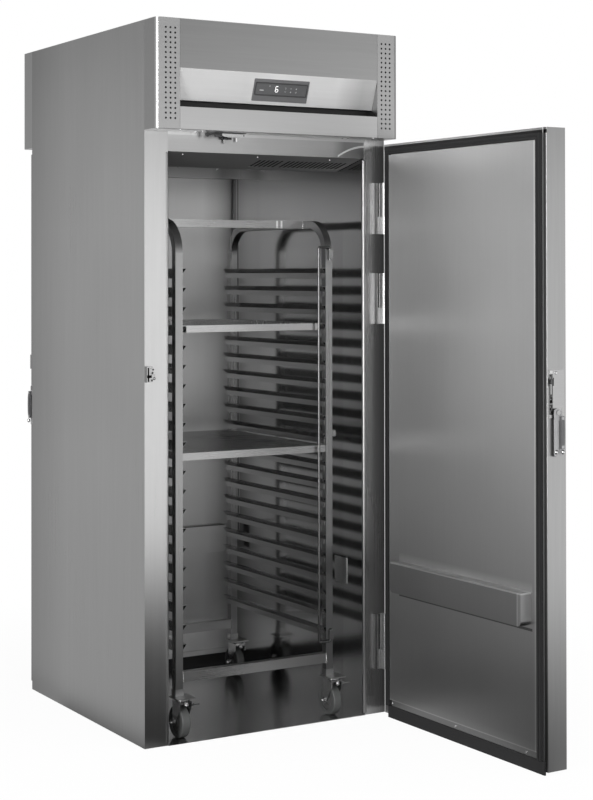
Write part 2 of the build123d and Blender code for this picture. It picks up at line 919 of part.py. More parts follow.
condenserZ = deck + condenserFoot + condenserHeight / 2
condenserTop = deck + condenserFoot + condenserHeight
with BuildPart() as condenser:
    with Locations((condenserFanX, condenserY + condenserDepth / 2, condenserZ)):
        with GridLocations(condenserWidth / (finCount - 1), 1, finCount, 1):
            Box(finThickness, condenserDepth, condenserHeight)
    with BuildSketch(Plane.YZ.offset(condenserFanX - condenserWidth / 2 - condenserTubeEnd)):
        with Locations((condenserY + condenserDepth / 2, condenserZ)):
            with GridLocations(
                condenserDepth / condenserColumns, condenserHeight / condenserRows,
                condenserColumns, condenserRows,
            ):
                Circle(coilTube / 2)
    extrude(amount=condenserWidth + 2 * condenserTubeEnd)
    for side in (-1, 1):
        endX = condenserFanX + side * (condenserWidth / 2 + condenserEndInset)
        block(
            endX - condenserEndSheet / 2, endX + condenserEndSheet / 2,
            condenserY - condenserEndRim, condenserY + condenserDepth + condenserEndRim,
            deck, condenserTop + condenserEndTop,
        )
save(condenser.part, "condenser_coil")

motorY = condenserFanY + fanDepth / 2 + motorGap
with BuildPart() as fanMotors:
    # Evaporator fan's motor, hung from the roof with its shaft down
    with Locations((evaporatorFanX, evaporatorFanY, headerTop - motorLength / 2)):
        Cylinder(motorRadius, motorLength)
    shaftLength = headerTop - evaporatorFanZ + 2 * fanShaft
    with Locations((evaporatorFanX, evaporatorFanY, headerTop - shaftLength / 2)):
        Cylinder(fanShaft / 2, shaftLength)
    block(
        evaporatorFanX - motorStrapX, evaporatorFanX + motorStrapX,
        evaporatorFanY - motorStrapY, evaporatorFanY + motorStrapY,
        headerTop - motorFoot, headerTop,
    )
    # Condenser fan's motor on its pedestal, shaft forwards
    with BuildSketch(Plane.XZ.offset(-motorY)):
        with Locations((condenserFanX, condenserFanZ)):
            Circle(motorRadius)
    extrude(amount=-motorLength)
    with BuildSketch(Plane.XZ.offset(-motorY)):
        with Locations((condenserFanX, condenserFanZ)):
            Circle(fanShaft / 2)
    extrude(amount=motorY - condenserFanY + 2 * fanShaft)
    block(
        condenserFanX - motorPostX, condenserFanX + motorPostX,
        motorY + motorPostInset, motorY + motorLength - motorPostInset,
        deck, condenserFanZ - motorPostX,
    )
    block(
        condenserFanX - motorBaseX, condenserFanX + motorBaseX, motorY, motorY + motorLength,
        deck, deck + motorFoot,
    )
save(fanMotors.part, "fan_motors")

with BuildPart() as compressor:
    with Locations((compressorX, compressorY, deck + compressorFootZ / 2)):
        Box(compressorFootX, compressorFootY, compressorFootZ)
    with Locations((compressorX, compressorY, deck + compressorFootZ + compressorHeight / 2)):
        Cylinder(compressorRadius, compressorHeight)
    topEdge = compressor.edges().filter_by(GeomType.CIRCLE).group_by(Axis.Z)[-1]
    fillet(topEdge, radius=compressorDome)
    terminalCentreX = compressorX + compressorRadius + terminalReach
    with Locations((terminalCentreX, compressorY, deck + terminalHeight)):
        Box(terminalX, terminalY, terminalZ)
save(compressor.part, "compressor")

pipeZ = condenserZ
pipeEndX = condenserFanX + condenserWidth / 2 + condenserTubeEnd
pipeEndY = condenserY + condenserDepth / 4
dischargeX = pipeEndX + dischargeReach
dischargeY = condenserY + dischargeInset
with BuildPart() as pipes:
    # Compressor to condenser
    with BuildLine():
        FilletPolyline(
            (compressorX, compressorY - compressorRadius, pipeZ),
            (compressorX, dischargeY, pipeZ),
            (dischargeX, dischargeY, pipeZ),
            (dischargeX, pipeEndY, pipeZ),
            (pipeEndX, pipeEndY, pipeZ),
            radius=pipeBend,
        )
    with BuildSketch(Plane((compressorX, compressorY - compressorRadius, pipeZ), z_dir=(0, -1, 0))):
        Circle(pipeDiameter / 2)
    sweep()
    # Compressor down through the roof to the evaporator
    with BuildLine() as down:
        FilletPolyline(
            (compressorX - compressorRadius, compressorY, pipeZ),
            (suctionX, compressorY, pipeZ),
            (suctionX, compressorY, headerTop - pipeDip),
            radius=pipeBend,
        )
    with BuildSketch(Plane((compressorX - compressorRadius, compressorY, pipeZ), z_dir=(-1, 0, 0))):
        Circle(pipeDiameter / 2)
    sweep(path=down.wires()[0])
save(pipes.part, "refrigerant_pipes")

boxLeft = -openingHalf + boxSideInset
boxBack = halfDepth - boxBackInset
with BuildPart() as controlBox:
    block(boxLeft, boxLeft + boxWidth, boxBack - boxDepth, boxBack, deck, deck + boxHeight)
    fillet(controlBox.edges().filter_by(Axis.Z), radius=boxCorner)
save(controlBox.part, "electrical_box")

glandX = -halfWidth + glandInset
glandZ = height - glandDrop
with BuildPart() as gland:
    with BuildSketch(Plane.XZ.offset(-canopyFace)):
        with Locations((glandX, glandZ)):
            RegularPolygon(glandHex, 6)
    extrude(amount=-glandHexHeight)
    with BuildSketch(Plane.XZ.offset(-canopyFace)):
        with Locations((glandX, glandZ)):
            Circle(glandNut)
    extrude(amount=-glandLength)
    with BuildSketch(Plane.XZ.offset(-canopyFace)):
        with Locations((glandX, glandZ)):
            Circle(glandBore)
    extrude(amount=-glandLength, mode=Mode.SUBTRACT)
save(gland.part, "mains_inlet_gland")


# Rack trolley
rackWidth = 2 * openingHalf - rackPlay
rackLeft = rackCentreX - rackWidth / 2
rackRight = rackCentreX + rackWidth / 2
rackFront = -halfDepth + rackFrontInset
rackBack = halfDepth - rackBackInset
rackDepth = rackBack - rackFront
rackTop = ceilingHeight - rackHeadroom
runnerTop = rackTop - runnerDrop
rodTop = rackTop - rodDrop
wheelZ = floorSheet + rackClearance + wheelDiameter / 2
crownZ = wheelZ + wheelDiameter / 2 + crownGap
plateBottom = crownZ + forkSheet + plateGap
rackFoot = plateBottom + plateThickness + padHeight
lowBarBottom = rackFoot + lowBarRise
brakePivotZ = crownZ - brakePivotDrop
innerLeft = rackLeft + tube
innerRight = rackRight - tube
rodPinX = rackRight - tube / 2
rodY = rackFront - rodStandOff


def sideFrame(name, centreX):
    half = tube / 2
    with BuildPart() as frame:
        with BuildLine():
            FilletPolyline(
                (centreX, rackFront + half, rackFoot),
                (centreX, rackFront + half, rackTop - half),
                (centreX, rackBack - half, rackTop - half),
                (centreX, rackBack - half, rackFoot),
                radius=bendRadius - half,
            )
        with BuildSketch(Plane.XY.offset(rackFoot)):
            with Locations((centreX, rackFront + half)):
                Rectangle(tube, tube)
                Rectangle(tube - 2 * tubeWall, tube - 2 * tubeWall, mode=Mode.SUBTRACT)
        sweep()
        if centreX > rackCentreX:
            # Sleeves of the retaining rod and the block of its catch
            for low in (rodBottom + sleeveLift, rodTop - sleeveDrop):
                block(
                    rodPinX - sleeveHalf, rodPinX + sleeveHalf, rodY - sleeveHalf, rackFront,
                    low, low + sleeveHeight,
                )
                with Locations((rodPinX, rodY, low + sleeveHeight / 2)):
                    Cylinder(rodDiameter / 2 + pinRun, sleeveHeight, mode=Mode.SUBTRACT)
            block(
                rackRight, rackRight + catchReach, rackFront, rackFront + tube,
                catchBottom, catchBottom + catchHeight,
            )
    save(frame.part, name)


sideFrame("rack_side_frame_left", rackLeft + tube / 2)
sideFrame("rack_side_frame_right", rackRight - tube / 2)

topBarFront = rackFront + topBarInset
with BuildPart() as crossBars:
    spans = (
        (topBarFront, rackTop - tube, tube),
        (rackFront, lowBarBottom, lowBarHeight),
        (rackBack - tube, lowBarBottom, lowBarHeight),
    )
    for front, low, tall in spans:
        block(innerLeft, innerRight, front, front + tube, low, low + tall)
        block(
            innerLeft, innerRight, front + tubeWall, front + tube - tubeWall,
            low + tubeWall, low + tall - tubeWall, mode=Mode.SUBTRACT,
        )
save(crossBars.part, "rack_cross_bars")

groupSize = runnerLevels // 2
runnerFront = rackFront + runnerInset
runnerLength = rackDepth - runnerEndInset


def runnerHeight(level):
    step = level if level < groupSize else level - 1
    return runnerTop - runnerPitch * step - (runnerGroupGap if level >= groupSize else 0)


with BuildPart() as runners:
    for wallX, inward in ((innerLeft, 1), (innerRight, -1)):
        # A web against the uprights with a hollow three-cornered ledge at its top
        for level in range(runnerLevels):
            top = runnerHeight(level)
            with BuildSketch(Plane.XZ.offset(-runnerFront)):
                with BuildLine():
                    Polyline(
                        (wallX, top), (wallX + inward * runnerLedge, top),
                        (wallX + inward * runnerSheet, top - runnerLedge),
                        (wallX + inward * runnerSheet, top - runnerWeb),
                        (wallX, top - runnerWeb),
                        close=True,
                    )
                make_face()
                with BuildLine():
                    Polyline(
                        (wallX + inward * runnerSheet, top - runnerSheet),
                        (wallX + inward * (runnerLedge - 2.4 * runnerSheet), top - runnerSheet),
                        (wallX + inward * runnerSheet, top - runnerLedge + 1.4 * runnerSheet),
                        close=True,
                    )
                make_face(mode=Mode.SUBTRACT)
            extrude(amount=-runnerLength)
save(runners.part, "rack_tray_runners")

with BuildPart() as shelf:
    shelfFront, shelfBack = rackFront + shelfInset, rackBack - shelfInset
    block(innerLeft, innerRight, shelfFront, shelfBack, shelfTop - shelfRim, shelfTop)
    block(
        innerLeft + shelfSheet, innerRight - shelfSheet, shelfFront + shelfSheet,
        shelfBack - shelfSheet, shelfTop - shelfRim, shelfTop - shelfSheet, mode=Mode.SUBTRACT,
    )
save(shelf.part, "rack_middle_shelf")

trayTop = runnerHeight(trayLevel - 1) + touchGap + traySheet
trayLeft = innerLeft + runnerSheet + trayClearance
trayRight = innerRight - runnerSheet - trayClearance
trayFront = rackFront + runnerInset
trayBack = rackBack - trayBackInset
trayWall = runnerLedge + trayClearance
with BuildPart() as tray:
    block(trayLeft, trayRight, trayFront, trayBack, trayTop - traySheet, trayTop)
    block(
        innerLeft + trayWall, innerRight - trayWall, trayFront, trayBack,
        trayTop - trayRim, trayTop - traySheet,
    )
    block(
        innerLeft + trayWall + traySheet, innerRight - trayWall - traySheet,
        trayFront + traySheet, trayBack - traySheet,
        trayTop - trayRim + traySheet, trayTop, mode=Mode.SUBTRACT,
    )
save(tray.part, "rack_sheet_tray")

rodLine = rodPinX - rodSwing
with BuildPart() as rod:
    with BuildLine():
        FilletPolyline(
            (rodPinX, rodY, rodTop - rodReturnTop), (rodPinX, rodY, rodTop),
            (rodLine, rodY, rodTop), (rodLine, rodY, rodBottom),
            (rodPinX, rodY, rodBottom), (rodPinX, rodY, rodBottom + rodReturnBottom),
            radius=rodBend,
        )
    with BuildSketch(Plane.XY.offset(rodTop - rodReturnTop)):
        with Locations((rodPinX, rodY)):
            Circle(rodDiameter / 2)
    sweep()
save(rod.part, "tray_retaining_rod")

# Casters
casterLeftX = rackLeft + casterLeftInset
casterRightX = rackRight - casterRightInset
casterFrontY = rackFront - casterFrontProud
casterRearY = rackBack - casterRearInset
crownHalf = wheelWidth / 2 + forkGap + forkSheet
braked = ("front_left", "front_right")
corners = {
    "front_left": (casterLeftX, casterFrontY),
    "front_right": (casterRightX, casterFrontY),
    "rear_left": (casterLeftX, casterRearY),
    "rear_right": (casterRightX, casterRearY),
}

with BuildPart() as casterPlates:
    for x, y in corners.values():
        uprightX = rackLeft + tube / 2 if x < rackCentreX else rackRight - tube / 2
        uprightY = rackFront + tube / 2 if y < 0 else rackBack - tube / 2
        with Locations((x, y, plateBottom + plateThickness / 2)):
            Box(plateSize, plateSize, plateThickness)
        padLow = plateBottom + plateThickness
        block(
            uprightX - tube / 2 - padRim, uprightX + tube / 2 + padRim,
            uprightY - tube / 2 - padRim, uprightY + tube / 2 + padRim, padLow, rackFoot,
        )
        with Locations((x, y, (plateBottom + crownZ + forkSheet + touchGap) / 2)):
            Cylinder(collarRadius, plateBottom - crownZ - forkSheet - touchGap)
        with Locations((x, y, (plateBottom + crownZ - kingpinFoot) / 2)):
            Cylinder(kingpinDiameter / 2, plateBottom - crownZ + kingpinFoot)
        with Locations((x, y, crownZ - kingpinNutDrop)):
            Cylinder(kingpinDiameter / 2 + kingpinNutRim, kingpinNutHeight - 2 * touchGap)
save(casterPlates.part, "caster_plates")


def brakePivotX(x):
    return x + crownHalf + touchGap + brakeBarrel / 2


def casterFork(name, x, y, braked):
    axleY = y + casterTrail
    with BuildPart() as fork:
        block(
            x - crownHalf, x + crownHalf, y - forkFront, y + forkBack, crownZ, crownZ + forkSheet,
        )
        for side in (-1, 1):
            with BuildSketch(Plane.YZ.offset(x + side * crownHalf)):
                with BuildLine():
                    Polyline(
                        (y - forkFront, crownZ + forkSheet), (y + forkBack, crownZ + forkSheet),
                        (axleY + forkEyeRadius, wheelZ), (axleY - forkEyeRadius, wheelZ),
                        (y - forkFront + forkShoulderInset, crownZ - forkShoulder),
                        close=True,
                    )
                make_face()
                with Locations((axleY, wheelZ)):
                    Circle(forkEyeRadius)
            extrude(amount=-side * forkSheet)
        with BuildSketch(Plane.YZ.offset(x - crownHalf - axleProud)):
            with Locations((axleY, wheelZ)):
                Circle(hubBore / 2)
        extrude(amount=2 * (crownHalf + axleProud))
        for side in (-1, 1):
            with BuildSketch(Plane.YZ.offset(x + side * crownHalf)):
                with Locations((axleY, wheelZ)):
                    RegularPolygon(nutRadius, 6)
            extrude(amount=side * nutHeight)
        with Locations((x, y, crownZ)):
            Cylinder(kingpinDiameter / 2 + pinRun, 4 * forkSheet, mode=Mode.SUBTRACT)
        if braked:
            # Two lugs and a pin carry the brake pedal on the outer cheek
            lugY = (y - brakeForward - touchGap - lugSheet, y - brakeForward + brakeWidth + touchGap)
            for low in lugY:
                block(
                    x + crownHalf, brakePivotX(x) + lugSheet, low, low + lugSheet,
                    brakePivotZ - lugHalf, brakePivotZ + lugHalf,
                )
            with BuildSketch(Plane.XZ.offset(-lugY[0])):
                with Locations((brakePivotX(x), brakePivotZ)):
                    Circle(brakePin / 2)
            extrude(amount=-(lugY[1] - lugY[0]))
    save(fork.part, name)


def casterWheel(name, x, y):
    with BuildPart() as wheel:
        with BuildSketch(Plane.YZ.offset(x - wheelWidth / 2)):
            with Locations((y + casterTrail, wheelZ)):
                Circle(wheelDiameter / 2)
        extrude(amount=wheelWidth)
        fillet(wheel.edges().filter_by(GeomType.CIRCLE), radius=tyreEdge)
        for side in (-1, 1):
            with BuildSketch(Plane.YZ.offset(x + side * wheelWidth / 2)):
                with Locations((y + casterTrail, wheelZ)):
                    Circle(wheelDishOuter)
                    Circle(wheelDishInner, mode=Mode.SUBTRACT)
            extrude(amount=-side * wheelDish, mode=Mode.SUBTRACT)
        with BuildSketch(Plane.YZ.offset(x - wheelWidth / 2)):
            with Locations((y + casterTrail, wheelZ)):
                Circle(hubBore / 2 + axleRun)
        extrude(amount=wheelWidth, mode=Mode.SUBTRACT)
    save(wheel.part, name)


for corner, (x, y) in corners.items():
    casterFork(f"caster_fork_{corner}", x, y, corner in braked)
    casterWheel(f"caster_wheel_{corner}", x, y)

for corner in braked:
    x, y = corners[corner]
    front = y - brakeForward
    with BuildPart() as pedal:
        block(
            brakePivotX(x), brakePivotX(x) + brakeLength, front, front + brakeWidth,
            brakePivotZ - brakeSheet, brakePivotZ,
        )
        with BuildSketch(Plane.XZ.offset(-front)):
            with Locations((brakePivotX(x), brakePivotZ)):
                Circle(brakeBarrel / 2)
        extrude(amount=-brakeWidth)
        with BuildSketch(Plane.XZ.offset(-front)):
            with Locations((brakePivotX(x), brakePivotZ)):
                Circle(brakePin / 2 + pinRun)
        extrude(amount=-brakeWidth, mode=Mode.SUBTRACT)
    save(pedal.part, f"brake_pedal_{corner}")
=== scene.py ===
import math

import bpy
from mathutils import Matrix, Vector


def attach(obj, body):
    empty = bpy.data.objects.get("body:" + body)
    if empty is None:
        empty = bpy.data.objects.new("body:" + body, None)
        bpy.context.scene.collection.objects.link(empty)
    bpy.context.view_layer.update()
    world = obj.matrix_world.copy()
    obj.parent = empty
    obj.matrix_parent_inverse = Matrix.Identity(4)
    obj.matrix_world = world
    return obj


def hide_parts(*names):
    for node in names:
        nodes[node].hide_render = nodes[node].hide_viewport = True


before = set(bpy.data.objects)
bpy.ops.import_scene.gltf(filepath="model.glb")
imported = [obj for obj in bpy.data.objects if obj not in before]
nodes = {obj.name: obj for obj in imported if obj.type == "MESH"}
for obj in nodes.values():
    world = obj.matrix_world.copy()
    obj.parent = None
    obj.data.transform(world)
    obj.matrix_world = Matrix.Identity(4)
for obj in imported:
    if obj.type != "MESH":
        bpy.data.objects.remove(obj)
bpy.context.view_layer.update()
mm = 0.001
print("stage: model loaded")

scene = bpy.context.scene
scene.view_settings.view_transform = "Standard"


# Places on the object, in millimetres as it was drawn
cabinet = {"halfDepth": 450.0, "height": 2230.0, "opening": 360.0, "ceiling": 1830.0}
canopy = {"face": 533.0, "bottom": 1892.0, "slopeTop": 2079.0, "slopeBottom": 1984.0, "slopeInset": 34.0,
          "slotBottom": 1961.0}
door = {"pivotX": 426.4, "pivotY": 474.0, "angle": 91.0, "freeEdge": -409.0, "hingeEdge": 415.0, "inner": 464.0}
rack = {"left": -306.0, "right": 271.0, "front": -395.0, "back": 280.0, "tube": 25.0}
doorSides = (("front", -1), ("rear", 1))


# The camera stands where the photograph was taken from
cameraPlace = {"x": -2762.85, "y": -5249.19, "z": 1451.43, "yaw": 30.8315, "pitch": 0.4867,
               "roll": -0.0855, "lens": 78.147, "shiftY": -0.17657}


def addCamera(place):
    bpy.ops.object.camera_add()
    camera = bpy.context.object
    camera.name = "photoCamera"
    turn = (Matrix.Rotation(math.radians(-place["yaw"]), 4, "Z")
            @ Matrix.Rotation(math.radians(90 + place["pitch"]), 4, "X")
            @ Matrix.Rotation(math.radians(place["roll"]), 4, "Z"))
    camera.matrix_world = Matrix.Translation(Vector((place["x"], place["y"], place["z"])) * mm) @ turn
    camera.data.lens = place["lens"]
    camera.data.sensor_width = 36.0
    camera.data.shift_y = place["shiftY"]
    camera.data.clip_start = 0.05
    camera.data.clip_end = 200.0
    scene.camera = camera


addCamera(cameraPlace)
print("stage: camera placed")


class Value:
    # A shader socket that takes part in ordinary sums
    def __init__(self, finish, socket):
        self.finish = finish
        self.socket = socket

    def join(self, operation, left, right):
        return self.finish.add("ShaderNodeMath", {"operation": operation}, {0: left, 1: right})

    def __add__(self, other):
        return self.join("ADD", self, other)

    def __radd__(self, other):
        return self.join("ADD", other, self)

    def __sub__(self, other):
        return self.join("SUBTRACT", self, other)

    def __rsub__(self, other):
        return self.join("SUBTRACT", other, self)

    def __mul__(self, other):
        return self.join("MULTIPLY", self, other)

    def __rmul__(self, other):
        return self.join("MULTIPLY", other, self)

    def __gt__(self, other):
        return self.join("GREATER_THAN", self, other)

    def __lt__(self, other):
        return self.join("LESS_THAN", self, other)


class Finish:
    # A material, or the world, built up from nodes
    def __init__(self, name, owner=None):
        self.owner = owner or bpy.data.materials.new(name)
        self.owner.use_nodes = True
        self.tree = self.owner.node_tree
        self.shader = self.tree.nodes.get("Principled BSDF")
        self.output = self.tree.nodes.get("Material Output") or self.tree.nodes.get("World Output")

    def add(self, kind, settings=None, inputs=None, output=0):
        node = self.tree.nodes.new(kind)
        for key, value in (settings or {}).items():
            if key == "stops":
                elements = node.color_ramp.elements
                while len(elements) < len(value):
                    elements.new(0.5)
                for element, (position, grey) in zip(elements, value):
                    element.position = position
                    element.color = (grey, grey, grey, 1)
            else:
                setattr(node, key, value)
        for key, value in (inputs or {}).items():
            self.feed(node.inputs[key], value)
        return Value(self, node.outputs[output])

    def feed(self, socket, value):
        if isinstance(value, Value):
            self.tree.links.new(value.socket, socket)
        else:
            socket.default_value = value

    def set(self, **values):
        # Principled sockets by name, an underscore standing for a space
        for key, value in values.items():
            self.feed(self.shader.inputs[key.replace("_", " ").title().replace("Ior", "IOR")], value)

    def place(self, scale, turn=(0, 0, 0)):
        here = self.add("ShaderNodeTexCoord", output="Object")
        return self.add("ShaderNodeMapping", {}, {"Vector": here, "Scale": scale, "Rotation": turn})

    def noise(self, scale, detail=2.0, roughness=0.5):
        return self.add("ShaderNodeTexNoise", {}, {
            "Vector": self.place(scale), "Scale": 1.0, "Detail": detail, "Roughness": roughness})

    def mixTone(self, factor, dark, light):
        return self.add("ShaderNodeMix", {"data_type": "RGBA"},
                        {0: factor, 6: tint(dark), 7: tint(light)}, output=2)

    def bump(self, height, distance, strength=1.0):
        return self.add("ShaderNodeBump", {}, {
            "Height": height, "Distance": distance, "Strength": strength})


def tint(value):
    if isinstance(value, (tuple, list)):
        return (*value, 1)
    return (value, value, value, 1)


def ramp(finish, value, *stops):
    return finish.add("ShaderNodeValToRGB", {"stops": list(stops)}, {0: value})


def coordinates(finish):
    here = finish.add("ShaderNodeTexCoord", output="Object")
    apart = finish.tree.nodes.new("ShaderNodeSeparateXYZ")
    finish.tree.links.new(here.socket, apart.inputs[0])
    return [Value(finish, apart.outputs[axis]) for axis in "XYZ"]


def band(value, low, high):
    return (value > low) * (value < high)


grainAxes = {"x": (5, 900, 900), "y": (900, 5, 900), "z": (900, 900, 5)}


def shaded(finish, colour, shade):
    # Painted light and shade: scales the colour by a mask that changes over the sheet
    if not shade:
        return colour
    return finish.add("ShaderNodeVectorMath", {"operation": "SCALE"}, {0: colour, "Scale": shade(finish)})


def brushed(name, grain, tone, spread=0.05, rough=0.30, roughSpread=0.05, anisotropy=0.0, turn=0.0, wave=0.0,
            shade=None, metal=None):
    # Ground stainless sheet: fine scratches along one axis, broad faint clouds and wiped marks
    finish = Finish(name)
    fine = finish.noise(grainAxes[grain], detail=3.0, roughness=0.65)
    wide = finish.noise(tuple(v * 0.12 if v > 100 else v * 0.6 for v in grainAxes[grain]), detail=2.0)
    cloud = finish.noise((2.2, 2.2, 1.6), detail=3.0)
    grit = fine * 0.55 + wide * 0.45
    colour = finish.mixTone(grit, tone - spread, tone + spread)
    colour = shaded(finish, colour, shade)
    finish.set(
        base_color=colour,
        metallic=metal(finish) if metal else 1.0,
        roughness=grit * roughSpread + cloud * (roughSpread * 1.6) + (rough - roughSpread * 1.3),
    )
    height = fine * 0.5 + wide * 0.5
    normal = finish.bump(height, 0.00003)
    if wave:
        slow = finish.noise((3.1, 3.1, 2.3), detail=1.0)
        normal = finish.add("ShaderNodeBump", {}, {
            "Height": slow, "Distance": wave, "Strength": 1.0, "Normal": normal})
    finish.set(normal=normal, anisotropic=anisotropy, anisotropic_rotation=turn)
    return finish.owner


def moulded(name, tone, rough=0.5, grain=900.0, depth=0.00005, coat=0.0):
    # Moulded plastic or rubber with a fine texture
    finish = Finish(name)
    pores = finish.noise((grain, grain, grain), detail=2.0)
    cloud = finish.noise((9, 9, 9), detail=2.0)
    low, high = [v * 0.9 for v in tone], [min(1.0, v * 1.12) for v in tone]
    finish.set(
        base_color=finish.mixTone(cloud * 0.6 + pores * 0.4, low, high),
        roughness=pores * 0.14 + (rough - 0.07),
        normal=finish.bump(pores, depth),
        coat_weight=coat,
        coat_roughness=0.1,
    )
    return finish.owner


def plated(name, tone, rough=0.2, pits=260.0, spots=0.06, shade=None):
    # Zinc plate: bright, mottled, with small dull spots
    finish = Finish(name)
    mottle = finish.noise((pits, pits, pits), detail=3.0)
    cloud = finish.noise((30, 30, 30), detail=2.0)
    colour = finish.mixTone(mottle * 0.5 + cloud * 0.5, tone - spots, tone + spots)
    colour = shaded(finish, colour, shade)
    finish.set(
        base_color=colour,
        metallic=1.0,
        roughness=mottle * 0.2 + (rough - 0.08),
        normal=finish.bump(mottle, 0.00003),
    )
    return finish.owner


# Painted light and shade: tones that change over a sheet, by place in metres, scale its colour where reflections
# and shade fall. A fade gives its start, its rate and its first and last levels, a band its two ends
fasciaTone = {"start": 0.36, "rate": 1.39, "upper": 0.68, "upperRise": 0.14, "slope": 1.53, "lower": 1.05,
              "margin": 0.2, "diffuse": 0.6,
              "level": ((0.0, 0.6), (0.33, 0.66), (0.5, 0.83), (0.8, 0.80), (0.93, 0.46))}
sideTone = {"rear": (0.15, 3.4, 0.0, 0.22), "high": (1.6, 1.8, 0.0, 0.16), "plane": -0.439}
canopyTone = {"lip": 0.6, "edge": 12.0, "under": 0.5, "edgeDrop": 1.15}
headerTone = {"hemFrom": 1.882, "hem": 0.26, "bowCentre": 0.372, "bowRate": 9.0, "bowRise": 0.034,
              "bowFoot": 1.8352, "bowHalf": 0.0034, "bowFrom": 0.259, "bow": 1.7, "duskFrom": 0.24,
              "duskRate": 10.0, "duskEnd": 0.45, "dusk": 0.42}
jambTone = {"from": 0.372, "rate": 12.5, "end": 0.95, "drop": 0.8, "skin": 0.4}
openPanTone = {"above": (0.522, 36.0, 0.42, 0.0), "below": (0.4085, 0.4165), "belowDrop": 0.65,
               "besideBar": (-1.256, -0.586), "hem": (0.0605, 0.0655), "hemLight": 0.6,
               "hemGlow": (0.0655, 38.0, 0.12, 0.0), "side": (-1.2715, -1.2665), "sideLight": 0.45,
               "cornerHigh": (1.70, 6.5, 0.0, 0.25), "cornerReach": 0.3}
bumperTone = {"end": -1.2345, "endLight": 0.25, "seam": (-1.2375, -1.2335), "seamLight": 0.5, "rim": 0.5175,
              "rimLight": 0.7, "base": 0.78}
skinTone = {"slant": 0.01746, "inside": 0.4102, "front": -0.47, "wing": (1.8575, 1.8685), "wingDrop": 0.93,
            "light": (-1.2955, -1.2915), "lightGain": 1.3, "gap": (-1.3065, -1.2955), "gapDrop": 0.55}
rearPanTone = {"from": 0.235, "rate": 7.6, "levels": ((0.0, 0.0), (0.45, 0.25), (1.0, 0.7)), "plane": 0.48}
wallTone = {"folds": ((0.398, 0.404, 0.8), (0.412, 0.420, 1.1), (0.404, 0.412, -0.6)), "foldFrom": 0.5,
            "glow": (0.398, -7.0, 0.5, 0.0), "glowFrom": 1.0, "behind": (1.68, -5.0, 0.0, 0.12),
            "behindFrom": -0.32, "plane": 0.3}
barTone = {"high": 1.5, "highDrop": 0.12, "low": 0.3, "lowLight": 0.35, "markLight": 1.4, "start": 0.3,
           "marks": ((0.1425, 0.1495), (0.1595, 0.1665)), "levels": ((0.0, 0.45), (0.42, 0.2), (0.55, 0.0))}
hingeTone = {"raised": ((0.213, 0.328), (1.338, 1.452), (1.638, 1.750)), "front": -0.45,
             "joint": (0.4065, 0.4125), "jointDrop": 0.9, "fold": (0.3965, 0.4015), "foldDrop": 0.4}
doorwayDusk = 0.38


def fade(finish, value, start, rate, first, last):
    return ramp(finish, (value - start) * rate, (0.0, first), (1.0, last))


def fasciaShade(finish):
    # Painted light and shade: the upper sheet is painted darker than the slope under it, the slope brighter along
    # x, the sheet below a little lighter
    x, y, z = coordinates(finish)
    upper = z > (canopy["slopeTop"] + fasciaTone["margin"]) * mm
    lower = z < (canopy["slopeBottom"] - fasciaTone["margin"]) * mm
    along = (x + fasciaTone["start"]) * fasciaTone["rate"]
    slope = (1.0 - upper - lower) * ramp(finish, along, *fasciaTone["level"]) * fasciaTone["slope"]
    return upper * (along * fasciaTone["upperRise"] + fasciaTone["upper"]) + slope + lower * fasciaTone["lower"]


def fasciaMetal(finish):
    # The slope is satin, so it mirrors less than the sheets round it
    x, y, z = coordinates(finish)
    slope = band(z, (canopy["slopeBottom"] - fasciaTone["margin"]) * mm,
                 (canopy["slopeTop"] + fasciaTone["margin"]) * mm)
    return 1.0 - slope * fasciaTone["diffuse"]


def sideShade(finish):
    # Painted shade: the left side dims a little towards the rear edge and the top
    x, y, z = coordinates(finish)
    drop = fade(finish, y, *sideTone["rear"]) + fade(finish, z, *sideTone["high"])
    return 1.0 - drop * (x < sideTone["plane"])


def canopyShade(finish):
    # The lower lip catches light from the floor, its front edge is in shadow
    x, y, z = coordinates(finish)
    under = z < (canopy["bottom"] + canopyTone["lip"]) * mm
    edge = under * (y < -(canopy["face"] - canopyTone["edge"]) * mm)
    return under * canopyTone["under"] + 1.0 - edge * canopyTone["edgeDrop"]


def headerShade(finish):
    # A painted highlight along the top under the canopy, painted shade towards the hinge end below it, and at the
    # hinge end a painted bowed reflection of the open door's top
    x, y, z = coordinates(finish)
    reach = (headerTone["bowCentre"] - x) * headerTone["bowRate"]
    rise = (1.0 - reach * reach) * headerTone["bowRise"]
    bow = band(z - headerTone["bowFoot"] - rise, -headerTone["bowHalf"], headerTone["bowHalf"])
    dusk = ramp(finish, (x - headerTone["duskFrom"]) * headerTone["duskRate"], (0.0, 0.0),
                (headerTone["duskEnd"], 1.0)) * (z < headerTone["hemFrom"])
    return ((z > headerTone["hemFrom"]) * headerTone["hem"] + 1.0 - dusk * headerTone["dusk"]
            + bow * (x > headerTone["bowFrom"]) * headerTone["bow"])


def jambShade(finish):
    # Painted shade: the front of the right jamb darkens towards the open door
    x, y, z = coordinates(finish)
    front = y < -(cabinet["halfDepth"] - jambTone["skin"]) * mm
    return 1.0 - ramp(finish, (x - jambTone["from"]) * jambTone["rate"], (0.0, 0.0),
                      (jambTone["end"], jambTone["drop"])) * front


